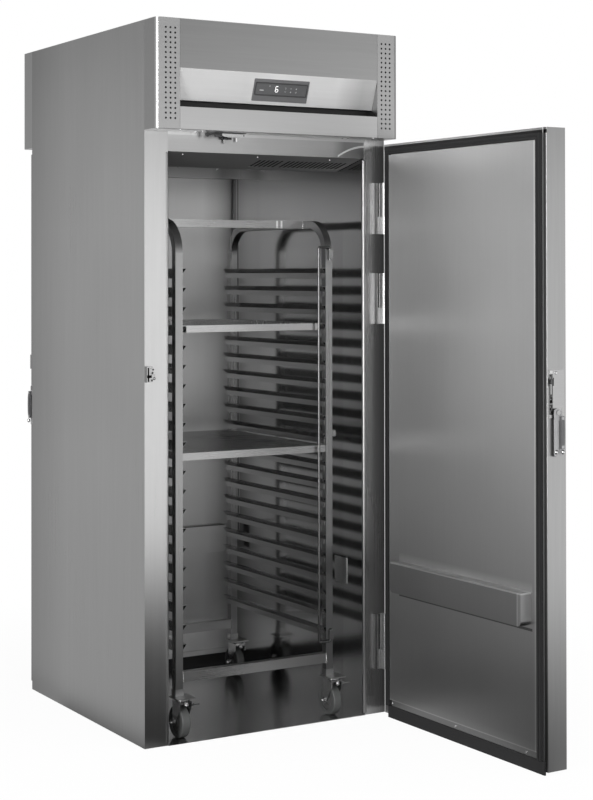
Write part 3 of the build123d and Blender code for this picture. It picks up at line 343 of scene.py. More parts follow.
def openPanShade(finish):
    # Painted light on the folds of the open door's pan: bottom hem, side edge and above the bumper bar; painted
    # shade just under the bar and in the upper corner towards the hinge
    x, y, z = coordinates(finish)
    above = fade(finish, z, *openPanTone["above"]) * (z > openPanTone["above"][0])
    below = band(z, *openPanTone["below"]) * openPanTone["belowDrop"]
    hemGlow = fade(finish, z, *openPanTone["hemGlow"]) * (z > openPanTone["hemGlow"][0])
    hem = band(z, *openPanTone["hem"]) * openPanTone["hemLight"] + hemGlow
    side = band(y, *openPanTone["side"]) * openPanTone["sideLight"]
    corner = fade(finish, z, *openPanTone["cornerHigh"]) * ramp(finish, y + 1.0, (0.0, 0.0),
                                                                (openPanTone["cornerReach"], 1.0))
    return (above - below) * band(y, *openPanTone["besideBar"]) + hem + side - corner + 1.0


def bumperShade(finish):
    # Painted highlights on the bar's top edge, its outer end and the seam before it; its face painted darker
    x, y, z = coordinates(finish)
    end = (y < bumperTone["end"]) * bumperTone["endLight"]
    seam = band(y, *bumperTone["seam"]) * bumperTone["seamLight"]
    return end + seam + (z > bumperTone["rim"]) * bumperTone["rimLight"] + bumperTone["base"]


def doorSkinShade(finish):
    # A dark band painted along the inner fold of the open door's top stands for the seal's outer wing; near the
    # free edge a painted highlight line and painted shade in the gap beside it
    x, y, z = coordinates(finish)
    front = ((x + y * skinTone["slant"]) < skinTone["inside"]) * (y < skinTone["front"])
    wing = front * band(z, *skinTone["wing"]) * skinTone["wingDrop"]
    light = front * band(y, *skinTone["light"]) * skinTone["lightGain"]
    gap = front * band(y, *skinTone["gap"]) * skinTone["gapDrop"]
    return 1.0 - wing + light - gap


def rearPanShade(finish):
    # Painted shadow: the rear door's pan falls off to shadow towards the right side of the doorway
    x, y, z = coordinates(finish)
    drop = ramp(finish, (x - rearPanTone["from"]) * rearPanTone["rate"], *rearPanTone["levels"])
    return 1.0 - drop * (y < rearPanTone["plane"])


def wallShade(finish):
    # Right inner wall: painted highlight and shade lines along the fold in the rear corner, a painted glow before
    # it, and painted shade low behind the rack
    x, y, z = coordinates(finish)
    fold = 0.0
    for low, high, light in wallTone["folds"]:
        fold = fold + band(y, low, high) * light
    glow = fade(finish, y, *wallTone["glow"]) * (y < wallTone["glow"][0])
    behind = fade(finish, z, *wallTone["behind"]) * (y > wallTone["behindFrom"])
    light = fold * (z > wallTone["foldFrom"]) + glow * (z > wallTone["glowFrom"]) - behind
    return (x > wallTone["plane"]) * light + 1.0


def barShade(finish):
    # Top bar: painted light, brighter to the left, and two bright marks at its right end; the low bars painted
    # lighter
    x, y, z = coordinates(finish)
    first, second = barTone["marks"]
    marks = (band(x, *first) + band(x, *second)) * barTone["markLight"]
    light = ramp(finish, x + barTone["start"], *barTone["levels"]) + marks - barTone["highDrop"]
    return (z > barTone["high"]) * light + (z < barTone["low"]) * barTone["lowLight"] + 1.0


def hingeShade(finish):
    # Painted shade in the joint between the knuckle and the door's leaf on the upper part of each front hinge,
    # and a painted shade line along the fold
    x, y, z = coordinates(finish)
    raised = 0.0
    for low, high in hingeTone["raised"]:
        raised = raised + band(z, low, high)
    front = y < hingeTone["front"]
    joint = band(x, *hingeTone["joint"]) * raised * front * hingeTone["jointDrop"]
    return 1.0 - joint - band(x, *hingeTone["fold"]) * front * hingeTone["foldDrop"]


def foldShade(finish):
    # The doorway's fold beside the open door gets less light
    x, y, z = coordinates(finish)
    return 1.0 - (x > 0.0) * doorwayDusk


def darkHollow():
    # Painted shade: a near-black finish for the inside of a deep narrow opening, standing in for the shade there
    finish = Finish("dark_hollow")
    dust = finish.noise((400, 400, 400), detail=2.0)
    finish.set(base_color=finish.mixTone(dust, 0.002, 0.006), roughness=dust * 0.2 + 0.7,
               specular_ior_level=0.0)
    return finish.owner


steelSide = brushed("brushed_steel_upright", "z", 0.49, rough=0.29, anisotropy=0.8, shade=sideShade)
steelCross = brushed("brushed_steel_crosswise", "x", 0.50, rough=0.34, anisotropy=0.6, turn=0.25)
steelFascia = brushed("brushed_steel_fascia", "x", 0.52, rough=0.30, anisotropy=0.2, turn=0.25,
                      shade=fasciaShade, metal=fasciaMetal)
steelHeader = brushed("brushed_steel_header", "x", 0.50, rough=0.34, anisotropy=0.6, turn=0.25,
                      shade=headerShade)
steelJamb = brushed("brushed_steel_right_side", "z", 0.49, rough=0.27, anisotropy=0.7, shade=jambShade)
steelCanopy = brushed("brushed_steel_canopy", "x", 0.50, rough=0.34, anisotropy=0.6, turn=0.25,
                      shade=canopyShade)
steelDoor = brushed("brushed_steel_door", "z", 0.33, rough=0.30, anisotropy=0.7, shade=doorSkinShade)
innerSheet = brushed("polished_inner_sheet", "z", 0.54, spread=0.02, rough=0.13, roughSpread=0.04,
                     wave=0.0010, shade=wallShade)
ceilingSheet = brushed("ceiling_sheet", "y", 0.50, spread=0.02, rough=0.5, roughSpread=0.05, wave=0.0008)
floorSheet = brushed("polished_floor_sheet", "x", 0.78, spread=0.02, rough=0.20, roughSpread=0.05,
                     wave=0.0006)
panSheet = brushed("door_pan_sheet", "z", 0.68, spread=0.02, rough=0.46, roughSpread=0.05, anisotropy=0.85,
                   wave=0.0006, shade=rearPanShade)
# Painted shade: the open front door's pan and bumper bar get darker copies of the door pan sheet that the rear
# door has
openPanSheet = brushed("front_door_pan_sheet", "z", 0.35, spread=0.02, rough=0.39, roughSpread=0.05,
                       anisotropy=0.85, wave=0.0006, shade=openPanShade)
bumperSheet = brushed("front_door_bumper_sheet", "z", 0.33, spread=0.02, rough=0.39, roughSpread=0.05,
                      anisotropy=0.85, shade=bumperShade)
latchSteel = brushed("latch_case_steel", "x", 0.36, rough=0.26, roughSpread=0.06)
leverSteel = moulded("pull_lever_lacquer", (0.30, 0.30, 0.305), rough=0.32)
hingeZinc = plated("hinge_zinc", 0.54, rough=0.27, pits=900.0, spots=0.02, shade=hingeShade)
forkZinc = plated("caster_fork_zinc", 0.60, rough=0.17, pits=900.0, spots=0.04)
rackTube = brushed("rack_tube_steel", "z", 0.30, rough=0.28, roughSpread=0.06)
rackBar = brushed("rack_bar_steel", "x", 0.31, rough=0.28, roughSpread=0.06, shade=barShade)
# Painted light: the middle shelf gets a lighter copy of the rack bar steel
shelfSheet = brushed("rack_shelf_steel", "x", 0.37, rough=0.28, roughSpread=0.06)
strikerSteel = brushed("striker_steel", "x", 0.40, rough=0.24, roughSpread=0.06)
rodSteel = plated("rod_steel", 0.16, rough=0.2, pits=500.0, spots=0.03)
rackRunner = brushed("rack_runner_steel", "y", 0.45, rough=0.25, roughSpread=0.08)
sheetTray = brushed("sheet_tray_steel", "x", 0.42, rough=0.26, roughSpread=0.08)
zinc = plated("zinc_plate", 0.42, rough=0.3, pits=900.0, spots=0.03)
brightPin = plated("bright_pin", 0.68, rough=0.14, spots=0.03)
sealRubber = moulded("seal_rubber", (0.010, 0.010, 0.0105), rough=0.72)
darkPlastic = moulded("dark_plastic", (0.03, 0.03, 0.031), rough=0.42)
displayPlastic = moulded("display_grey_plastic", (0.10, 0.10, 0.103), rough=0.38)
tyreRubber = moulded("caster_rubber", (0.06, 0.062, 0.061), rough=0.5)
foldSteel = brushed("doorway_fold_steel", "z", 0.46, spread=0.02, rough=0.3, roughSpread=0.04, shade=foldShade)
plateSteel = brushed("wall_plate_steel", "z", 0.66, spread=0.03, rough=0.42)
shadeBlack = moulded("painted_shade_black", (0.012, 0.012, 0.012), rough=0.5)
windowGlass = moulded("display_window_acrylic", (0.07, 0.071, 0.073), rough=0.3, depth=0.000004, coat=0.25)
faintPrint = moulded("display_print", (0.5, 0.5, 0.5), rough=0.5)
latchGrey = plated("latch_grey_parts", 0.16, rough=0.25, pits=700.0, spots=0.03)
gripPlastic = moulded("lever_grip_plastic", (0.085, 0.085, 0.088), rough=0.4)
hubPlastic = moulded("wheel_hub_plastic", (0.06, 0.06, 0.06), rough=0.45)
weldMetal = plated("weld_metal", 0.62, rough=0.2, pits=700.0, spots=0.12)
hollowBlack = darkHollow()
foamCore = moulded("rigid_foam", (0.8, 0.74, 0.5), rough=0.85, grain=500.0, depth=0.0002)
blackEnamel = moulded("black_enamel", (0.02, 0.02, 0.02), rough=0.25, coat=0.5)
whitePlastic = moulded("box_plastic", (0.55, 0.55, 0.54), rough=0.45)
finSheet = plated("fin_aluminium", 0.7, rough=0.3)


def copperPipe():
    finish = Finish("copper_pipe")
    stain = finish.noise((40, 40, 40), detail=3.0)
    finish.set(base_color=finish.mixTone(stain, (0.55, 0.26, 0.14), (0.78, 0.42, 0.26)), metallic=1.0,
               roughness=stain * 0.2 + 0.2, normal=finish.bump(stain, 0.00002))
    return finish.owner


copper = copperPipe()


def dress(material, *names):
    for name in names:
        slots = nodes[name].material_slots
        if not len(slots):
            nodes[name].data.materials.append(material)
        for slot in slots:
            slot.material = material


dress(steelSide, "side_panel_left")
dress(steelJamb, "side_panel_right")
dress(steelCross, "top_cover")
dress(steelHeader, "door_headers")
dress(steelCanopy, "front_canopy", "rear_canopy")
dress(steelFascia, "fascia_panels")
dress(innerSheet, "inner_walls")
dress(ceilingSheet, "evaporator_cover")
dress(floorSheet, "floor_plate")
dress(foamCore, "foam_insulation")
dress(displayPlastic, "display_unit")
dress(hingeZinc, "hinge_plates")
dress(zinc, "door_switch_lever", "caster_plates")
dress(rodSteel, "tray_retaining_rod")
dress(rackBar, "rack_cross_bars")
dress(shelfSheet, "rack_middle_shelf")
dress(strikerSteel, "latch_strikers")
dress(darkPlastic, "door_switch", "mains_inlet_gland", "evaporator_fan", "condenser_fan")
dress(finSheet, "evaporator_coil", "condenser_coil", "fan_motors")
dress(blackEnamel, "compressor")
dress(copper, "refrigerant_pipes")
dress(whitePlastic, "electrical_box")
dress(rackTube, "rack_side_frame_left", "rack_side_frame_right")
dress(rackRunner, "rack_tray_runners")
dress(sheetTray, "rack_sheet_tray")
for label, side in doorSides:
    dress(steelDoor, f"{label}_door_skin")
    dress(openPanSheet if side < 0 else panSheet, f"{label}_door_inner_panel")
    dress(bumperSheet if side < 0 else panSheet, f"{label}_door_bumper_bar")
    dress(sealRubber, f"{label}_door_seals")
    dress(hingeZinc, f"{label}_door_hinge_leaves")
    dress(latchSteel, f"{label}_door_latch_case")
    dress(leverSteel, f"{label}_door_pull_lever")
    dress(darkPlastic, f"{label}_door_push_finger")
for corner in ("front_left", "front_right", "rear_left", "rear_right"):
    dress(forkZinc, f"caster_fork_{corner}")
    dress(tyreRubber, f"caster_wheel_{corner}")
for corner in ("front_left", "front_right"):
    dress(brightPin, f"brake_pedal_{corner}")
print("stage: finishes made")


# Modelling helpers: every piece starts from a primitive and is shaped by hand-like steps
def clearSelection():
    if bpy.context.object and bpy.context.object.mode != "OBJECT":
        bpy.ops.object.mode_set(mode="OBJECT")
    bpy.ops.object.select_all(action="DESELECT")


def activate(*pieces):
    clearSelection()
    for piece in pieces:
        piece.select_set(True)
    bpy.context.view_layer.objects.active = pieces[0]


def settle(piece):
    activate(piece)
    bpy.ops.object.transform_apply(location=True, rotation=True, scale=True)
    return piece


def pickFaces(piece, test):
    # Edit mode with only the faces selected whose centre and normal pass the test
    activate(piece)
    bpy.ops.object.mode_set(mode="EDIT")
    bpy.ops.mesh.select_mode(type="FACE")
    bpy.ops.mesh.select_all(action="DESELECT")
    bpy.ops.object.mode_set(mode="OBJECT")
    for face in piece.data.polygons:
        face.select = bool(test(face.center, face.normal))
    bpy.ops.object.mode_set(mode="EDIT")


def editAll(piece):
    activate(piece)
    bpy.ops.object.mode_set(mode="EDIT")
    bpy.ops.mesh.select_all(action="SELECT")


def leaveEdit():
    bpy.ops.object.mode_set(mode="OBJECT")


def insetFace(piece, direction, *steps):
    # Insets the face that looks this way and moves it along, once for each width and rise
    way = Vector(direction)
    pickFaces(piece, lambda centre, normal: normal.dot(way) > 0.9)
    for width, rise in steps:
        bpy.ops.mesh.inset(thickness=width * mm)
        bpy.ops.transform.translate(value=way * rise * mm)
    leaveEdit()


def applyModifier(piece, kind, **settings):
    activate(piece)
    modifier = piece.modifiers.new(kind.lower(), kind)
    for key, value in settings.items():
        setattr(modifier, key, value)
    bpy.ops.object.modifier_apply(modifier=modifier.name)


def softenEdges(piece, width, segments=2, angle=30.0):
    applyModifier(piece, "BEVEL", width=width, segments=segments, limit_method="ANGLE",
                  angle_limit=math.radians(angle))
    smoothFaces(piece)


def smoothFaces(piece, angle=35.0):
    activate(piece)
    bpy.ops.object.shade_smooth_by_angle(angle=math.radians(angle))


def slab(name, low, high, edge=0.4, segments=2):
    # A block between two corners in millimetres, its edges rounded
    size = [max(abs(b - a), 0.01) * mm for a, b in zip(low, high)]
    centre = [(a + b) / 2 * mm for a, b in zip(low, high)]
    clearSelection()
    bpy.ops.mesh.primitive_cube_add(size=1.0, location=centre)
    piece = bpy.context.object
    piece.name = name
    piece.scale = size
    settle(piece)
    if edge:
        softenEdges(piece, min(edge * mm, min(size) * 0.45), segments)
    return piece


def disc(name, place, axis, radius, depth, sides=24):
    # A cylinder standing on its place and rising along the axis, in millimetres
    clearSelection()
    bpy.ops.mesh.primitive_cylinder_add(vertices=sides, radius=radius * mm, depth=depth * mm)
    piece = bpy.context.object
    piece.name = name
    direction = Vector(axis).normalized()
    piece.rotation_mode = "QUATERNION"
    piece.rotation_quaternion = direction.to_track_quat("Z", "Y")
    piece.location = (Vector(place) + direction * depth / 2) * mm
    return settle(piece)


def copyOf(source, name=None):
    piece = source.copy()
    piece.data = source.data.copy()
    piece.name = name or source.name
    scene.collection.objects.link(piece)
    return piece


def merge(name, pieces):
    activate(*pieces)
    if len(pieces) > 1:
        bpy.ops.object.join()
    piece = bpy.context.object
    piece.name = name
    piece.data.name = name
    return piece


def scatter(name, source, places, spin=0.0):
    # Copies of a piece modelled at the origin along +Z, each set on its place and direction
    copies = []
    for number, (place, direction) in enumerate(places):
        piece = copyOf(source)
        turn = Vector(direction).normalized().to_track_quat("Z", "Y").to_matrix().to_4x4()
        piece.matrix_world = (Matrix.Translation(Vector(place) * mm) @ turn
                              @ Matrix.Rotation(math.radians(spin * number), 4, "Z"))
        settle(piece)
        copies.append(piece)
    return merge(name, copies)


def discard(*pieces):
    for piece in pieces:
        bpy.data.objects.remove(piece)


def finishPiece(piece, material, body, slot, *replaced):
    piece.data.materials.clear()
    piece.data.materials.append(material)
    for face in piece.data.polygons:
        face.material_index = 0
    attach(piece, body)
    if replaced:
        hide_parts(*replaced)
    return piece


doorTurn = (Matrix.Translation(Vector((door["pivotX"], -door["pivotY"], 0)) * mm)
            @ Matrix.Rotation(math.radians(door["angle"]), 4, "Z")
            @ Matrix.Translation(Vector((-door["pivotX"], door["pivotY"], 0)) * mm))


def hang(piece, side):
    # Door pieces are modelled shut; the front ones swing open with the door
    if side < 0:
        piece.matrix_world = doorTurn @ piece.matrix_world
        settle(piece)
    return piece


# Fasteners
screw = {"radius": 4.2, "height": 2.2, "recess": 1.3, "slotWidth": 1.1, "smallRadius": 2.6, "smallHeight": 1.4}
screwAt = {"canopy": ((-272, -468), (-263, -500), (263, -470), (271, -492), (352, -520), (-352, -520)),
           "ceilingX": (-266, 25, 316), "ceilingY": 240, "louvreX": (-292, -23.5, 248), "louvreY": -418,
           "louvreZ": 1823.2, "louvreWay": (0, -0.215, -0.977), "topX": (-425, 0, 425),
           "topY": (-430, 0, 430), "plateX": 357.5, "plateY": (-338, -277), "plateZ": (421, 494),
           "strikerX": -419, "strikerY": 452, "strikerZ": (1124, 1163)}
capAcross, capHeight = 13.0, 9.0


def crossScrew(name, radius, height):
    # Pan head with a cross recess, standing on the origin
    piece = disc(name, (0, 0, 0), (0, 0, 1), radius, height, 20)
    pickFaces(piece, lambda centre, normal: normal.z > 0.9)
    bpy.ops.mesh.bevel(offset=height * 0.7 * mm, segments=3, affect="EDGES")
    leaveEdit()
    for turn in (0, 90):
        clearSelection()
        bpy.ops.mesh.primitive_cube_add(size=1.0, location=(0, 0, height * mm))
        cutter = bpy.context.object
        cutter.scale = Vector((radius * 1.15, screw["slotWidth"], screw["recess"] * 2)) * mm
        cutter.rotation_euler = (0, 0, math.radians(turn))
        settle(cutter)
        applyModifier(piece, "BOOLEAN", operation="DIFFERENCE", object=cutter, solver="EXACT")
        discard(cutter)
    smoothFaces(piece)
    return piece


def hexCap(name, across, height):
    # Domed hexagon nut, standing on the origin
    piece = disc(name, (0, 0, 0), (0, 0, 1), across / 2 * 1.155, height * 0.55, 6)
    softenEdges(piece, 0.4 * mm, 2)
    clearSelection()
    bpy.ops.mesh.primitive_uv_sphere_add(segments=20, ring_count=10, radius=across * 0.42 * mm,
                                         location=(0, 0, height * 0.5 * mm))
    dome = bpy.context.object
    settle(dome)
    pickFaces(dome, lambda centre, normal: centre.z < height * 0.45 * mm)
    bpy.ops.mesh.delete(type="FACE")
    bpy.ops.mesh.select_mode(type="EDGE")
    bpy.ops.mesh.select_all(action="DESELECT")
    bpy.ops.mesh.select_non_manifold()
    bpy.ops.mesh.edge_face_add()
    bpy.ops.mesh.select_all(action="SELECT")
    bpy.ops.mesh.normals_make_consistent(inside=False)
    leaveEdit()
    smoothFaces(dome)
    return merge(name, [piece, dome])


smallScrew = crossScrew("small_screw", screw["radius"], screw["height"])
tinyScrew = crossScrew("tiny_screw", screw["smallRadius"], screw["smallHeight"])
axleCap = hexCap("axle_cap", capAcross, capHeight)

down, up = (0, 0, -1), (0, 0, 1)
underCanopy = [((x, side * y, canopy["bottom"]), down) for side in (1, -1) for x, y in screwAt["canopy"]]
ceilingScrews = [((x, screwAt["ceilingY"], cabinet["ceiling"]), down) for x in screwAt["ceilingX"]]
louvreScrews = [((x, screwAt["louvreY"], screwAt["louvreZ"]), screwAt["louvreWay"]) for x in screwAt["louvreX"]]
topScrews = [((x, y, cabinet["height"]), up) for x in screwAt["topX"] for y in screwAt["topY"]]
wallPlateScrews = [((screwAt["plateX"], y, z), (-1, 0, 0)) for y in screwAt["plateY"] for z in screwAt["plateZ"]]
strikerScrews = [((screwAt["strikerX"], side * screwAt["strikerY"], z), (0, side, 0))
                 for side in (-1, 1) for z in screwAt["strikerZ"]]
for name, source, places, spin in (("canopy_screws", smallScrew, underCanopy, 37),
                                   ("ceiling_screws", smallScrew, ceilingScrews + louvreScrews, 23),
                                   ("top_cover_screws", smallScrew, topScrews, 51),
                                   ("striker_screws", tinyScrew, strikerScrews, 40)):
    finishPiece(scatter(name, source, places, spin), brightPin, "cabinet", "zinc")
print("stage: fasteners")


# Painted shade: near-black sheets behind the vents and in the air slot stand for the shade inside them
lining = {"gap": 4.0, "thickness": 0.8, "stripIn": 364.0, "stripOut": 432.0, "low": 1900.0, "top": 2224.0}


def ventShadeSheet(side, edge):
    inner = side * (canopy["face"] - 1.5 - lining["gap"])
    name = f"vent_shade_sheet_{'front' if side < 0 else 'rear'}_{'left' if edge < 0 else 'right'}"
    piece = slab(name, (edge * lining["stripIn"], inner, lining["low"]),
                 (edge * lining["stripOut"], inner - side * lining["thickness"], lining["top"]), 0)
    insetFace(piece, (0, -side, 0), (3.0, 2.0))
    softenEdges(piece, 0.2 * mm, 1)
    finishPiece(piece, shadeBlack, "cabinet", "dark_plastic")


def slotShadeChannel():
    # A shallow near-black channel behind the air slot, painted shade: back, bottom and top, open to the front
    low, high = canopy["slotBottom"] + 0.15, canopy["slopeBottom"] - 0.15
    piece = slab("air_slot_shade_channel", (-358.5, -531.5, low), (358.5, -470.5, high), 0)
    pickFaces(piece, lambda centre, normal: normal.y < -0.9)
    bpy.ops.mesh.delete(type="FACE")
    bpy.ops.mesh.select_all(action="SELECT")
    leaveEdit()
    for vertex in piece.data.vertices:
        if vertex.co.y < -500 * mm and vertex.co.z > (low + high) / 2 * mm:
            vertex.co.y = -497.5 * mm
    applyModifier(piece, "SOLIDIFY", thickness=0.5 * mm, offset=-1.0)
    finishPiece(piece, shadeBlack, "cabinet", "dark_plastic")


for side in (-1, 1):
    for edge in (-1, 1):
        ventShadeSheet(side, edge)
slotShadeChannel()
print("stage: linings")


# Display unit on the slope
display = {"centreX": 5.5, "offset": 54.0, "plate": 2.0, "windowX": 92.0, "windowY": 18.0, "windowUp": 4.3,
           "ring": 3.4, "digitHeight": 18.0, "digitWidth": 9.5, "bar": 1.9, "digitX": -16.5, "digitUp": 5.5,
           "lean": 0.12, "keyRows": (9.5, -1.5), "keyX": 15.5, "keyPitch": 19.5, "keyRing": 2.2,
           "keyWire": 0.32, "dash": (2.8, 0.5), "wedge": 2.6, "wordX": (-78, -63.5), "wordHalf": 1.2,
           "dot": (-43, 14.5), "dotRadius": 1.4}
slopeAngle = math.atan2(canopy["slopeInset"], canopy["slopeTop"] - canopy["slopeBottom"])
slopeUp = Vector((0, -math.sin(slopeAngle), math.cos(slopeAngle)))
slopeOut = Vector((0, -math.cos(slopeAngle), -math.sin(slopeAngle)))
slopeStart = Vector((display["centreX"], -canopy["face"], canopy["slopeTop"]))
displayFrame = Matrix.Translation((slopeStart - slopeUp * display["offset"]) * mm) @ Matrix(
    ((1, slopeUp.x, slopeOut.x, 0), (0, slopeUp.y, slopeOut.y, 0), (0, slopeUp.z, slopeOut.z, 0),
     (0, 0, 0, 1)))


def onSlope(piece):
    piece.matrix_world = displayFrame @ piece.matrix_world
    return settle(piece)


def roundedPlate(name, halfX, halfY, centreX, centreY, low, high, corner):
    # A flat plate with rounded corners, lying in the display's own plane
    piece = slab(name, (centreX - halfX, centreY - halfY, low), (centreX + halfX, centreY + halfY, high), 0)
    activate(piece)
    bpy.ops.object.mode_set(mode="EDIT")
    bpy.ops.mesh.select_mode(type="EDGE")
    bpy.ops.mesh.select_all(action="DESELECT")
    leaveEdit()
    for edge in piece.data.edges:
        a, b = [piece.data.vertices[v].co for v in edge.vertices]
        edge.select = abs(a.z - b.z) > 0.4 * (high - low) * mm and (a - b).length < 1.01 * (high - low) * mm
    bpy.ops.object.mode_set(mode="EDIT")
    bpy.ops.mesh.bevel(offset=corner * mm, segments=5, affect="EDGES")
    leaveEdit()
    return piece


def displayWindow():
    x, y, rise = display["windowX"], display["windowY"], display["windowUp"]
    glass = roundedPlate("display_window", x - 0.6, y - 0.6, 0, rise, display["plate"],
                         display["plate"] + 0.5, 4.0)
    softenEdges(glass, 0.12 * mm, 1, 50)
    finishPiece(onSlope(glass), windowGlass, "cabinet", "display_plastic")
    ring = roundedPlate("display_frame", x + display["ring"], y + display["ring"], 0, rise,
                        display["plate"] + 0.02, display["plate"] + 1.5, 5.5)
    pickFaces(ring, lambda centre, normal: normal.z > 0.9)
    bpy.ops.mesh.inset(thickness=display["ring"] * mm)
    bpy.ops.mesh.delete(type="FACE")
    leaveEdit()
    pickFaces(ring, lambda centre, normal: normal.z < -0.9)
    bpy.ops.mesh.delete(type="FACE")
    leaveEdit()
    applyModifier(ring, "SOLIDIFY", thickness=0.5 * mm, offset=-1.0)
    smoothFaces(ring)
    finishPiece(onSlope(ring), darkPlastic, "cabinet", "display_plastic")


def segmentDigit():
    # The digit of a seven-bar display, leaning a little, as lit bars behind the window
    height, width, bar = display["digitHeight"], display["digitWidth"], display["bar"]
    half = height / 2
    level = (display["plate"] + 0.55, display["plate"] + 0.85)
    across = [(0, half), (0, 0), (0, -half)]
    upright = [(-width / 2, half / 2), (-width / 2, -half / 2), (width / 2, -half / 2)]
    bars = []
    for x, y in across:
        bars.append(slab("digit_bar", (x - width / 2 + bar * 0.55, y - bar / 2, level[0]),
                         (x + width / 2 - bar * 0.55, y + bar / 2, level[1]), 0))
    for x, y in upright:
        bars.append(slab("digit_bar", (x - bar / 2, y - half / 2 + bar * 0.55, level[0]),
                         (x + bar / 2, y + half / 2 - bar * 0.55, level[1]), 0))
    for piece in bars:
        softenEdges(piece, bar * 0.4 * mm, 2, 60)
    digit = merge("display_digit", bars)
    lean = Matrix.Identity(4)
    lean[0][1] = display["lean"]
    digit.matrix_world = Matrix.Translation(Vector((display["digitX"], display["digitUp"], 0)) * mm) @ lean
    activate(digit)
    digit.data.transform(digit.matrix_world)
    digit.matrix_world = Matrix.Identity(4)
    finishPiece(onSlope(digit), litSegment, "cabinet", "display_plastic")


def keyMarks():
    # Touch fields printed on the window: two rows of plain rings, dashes and wedges
    level = (display["plate"] + 0.52, display["plate"] + 0.62)
    marks = []
    halfX, halfY = display["dash"]
    for row, rise in enumerate(display["keyRows"]):
        for column in range(3):
            x = display["keyX"] + column * display["keyPitch"]
            if (row + column) % 3 == 0:
                clearSelection()
                bpy.ops.mesh.primitive_torus_add(
                    major_segments=20, minor_segments=4, major_radius=display["keyRing"] * mm,
                    minor_radius=display["keyWire"] * mm, location=(x * mm, rise * mm, level[0] * mm))
                mark = settle(bpy.context.object)
            elif (row + column) % 3 == 1:
                mark = slab("mark", (x - halfX, rise - halfY, level[0]), (x + halfX, rise + halfY, level[1]),
                            0.04, 1)
            else:
                mark = disc("mark", (x, rise, level[0]), (0, 0, 1), display["wedge"], 0.1, 3)
            marks.append(mark)
    left, right = display["wordX"]
    marks.append(slab("mark", (left, -display["wordHalf"], level[0]), (right, display["wordHalf"], level[1]),
                      0.04, 1))
    marks.append(disc("mark", (*display["dot"], level[0]), (0, 0, 1), display["dotRadius"], 0.1, 12))
    finishPiece(onSlope(merge("display_key_marks", marks)), faintPrint, "cabinet", "display_plastic")


def litFinish():
    finish = Finish("display_lit_segment")
    glow = finish.noise((300, 300, 300), detail=1.0)
    finish.set(base_color=tint(0.8), roughness=0.4, emission_color=finish.mixTone(glow, 0.82, 1.0),
               emission_strength=0.85)
    return finish.owner


litSegment = litFinish()
displayWindow()
segmentDigit()
keyMarks()
print("stage: display")

# Doorway corners: the rounded fold between jamb and inner wall
fold = {"radius": 8.0, "inward": 4.0, "proud": 1.2, "across": 12.0, "deep": 14.0}


def doorwayFold(label, side, edge, top):
    opening, face = cabinet["opening"], cabinet["halfDepth"]
    piece = slab(f"{label}_doorway_fold_{'left' if edge < 0 else 'right'}",
                 (edge * (opening - fold["inward"]), side * (face + fold["proud"]), 2.1),
                 (edge * (opening + fold["across"]), side * (face - fold["deep"]), top - 0.1), 0)
    activate(piece)
    for vertex in piece.data.vertices:
        vertex.select = False
    for line in piece.data.edges:
        a, b = [piece.data.vertices[v].co for v in line.vertices]
        upright = abs(a.z - b.z) > 0.5
        outer = edge * a.x < (opening * mm) and side * a.y > face * mm
        line.select = upright and outer
    bpy.ops.object.mode_set(mode="EDIT")
    bpy.ops.mesh.select_mode(type="EDGE")
    bpy.ops.mesh.bevel(offset=fold["radius"] * mm, segments=8, affect="EDGES")
    leaveEdit()
    softenEdges(piece, 0.8 * mm, 2, 50)
    smoothFaces(piece, 50)
    finishPiece(piece, foldSteel, "cabinet", "brushed_panel")


for label, side, top in (("front", -1, cabinet["ceiling"]), ("rear", 1, cabinet["ceiling"] - 28.0)):
    for edge in (-1, 1):
        doorwayFold(label, side, edge, top)


# Painted shade: a near-black plate behind the ceiling louvres stands for the shade in the plenum
def plenum():
    piece = slab("plenum_shade_plate", (58, -272, cabinet["ceiling"] + 2.2), (346, 162, cabinet["ceiling"] + 3.4), 0)
    insetFace(piece, up, (6.0, 4.0))
    finishPiece(piece, shadeBlack, "cabinet", "dark_plastic")


plenum()

# Sloping louvre panel that guides the cold air out over the doorway
louvre = {"front": -446.0, "back": -285.0, "high": 1829.4, "low": 1794.0, "half": 356.0, "slotFrom": -388.0,
          "slotTo": -312.0, "slotWidth": 8.4, "pitch": 16.5, "starts": ((6.0, 6), (116.0, 14)), "depth": 7.0}


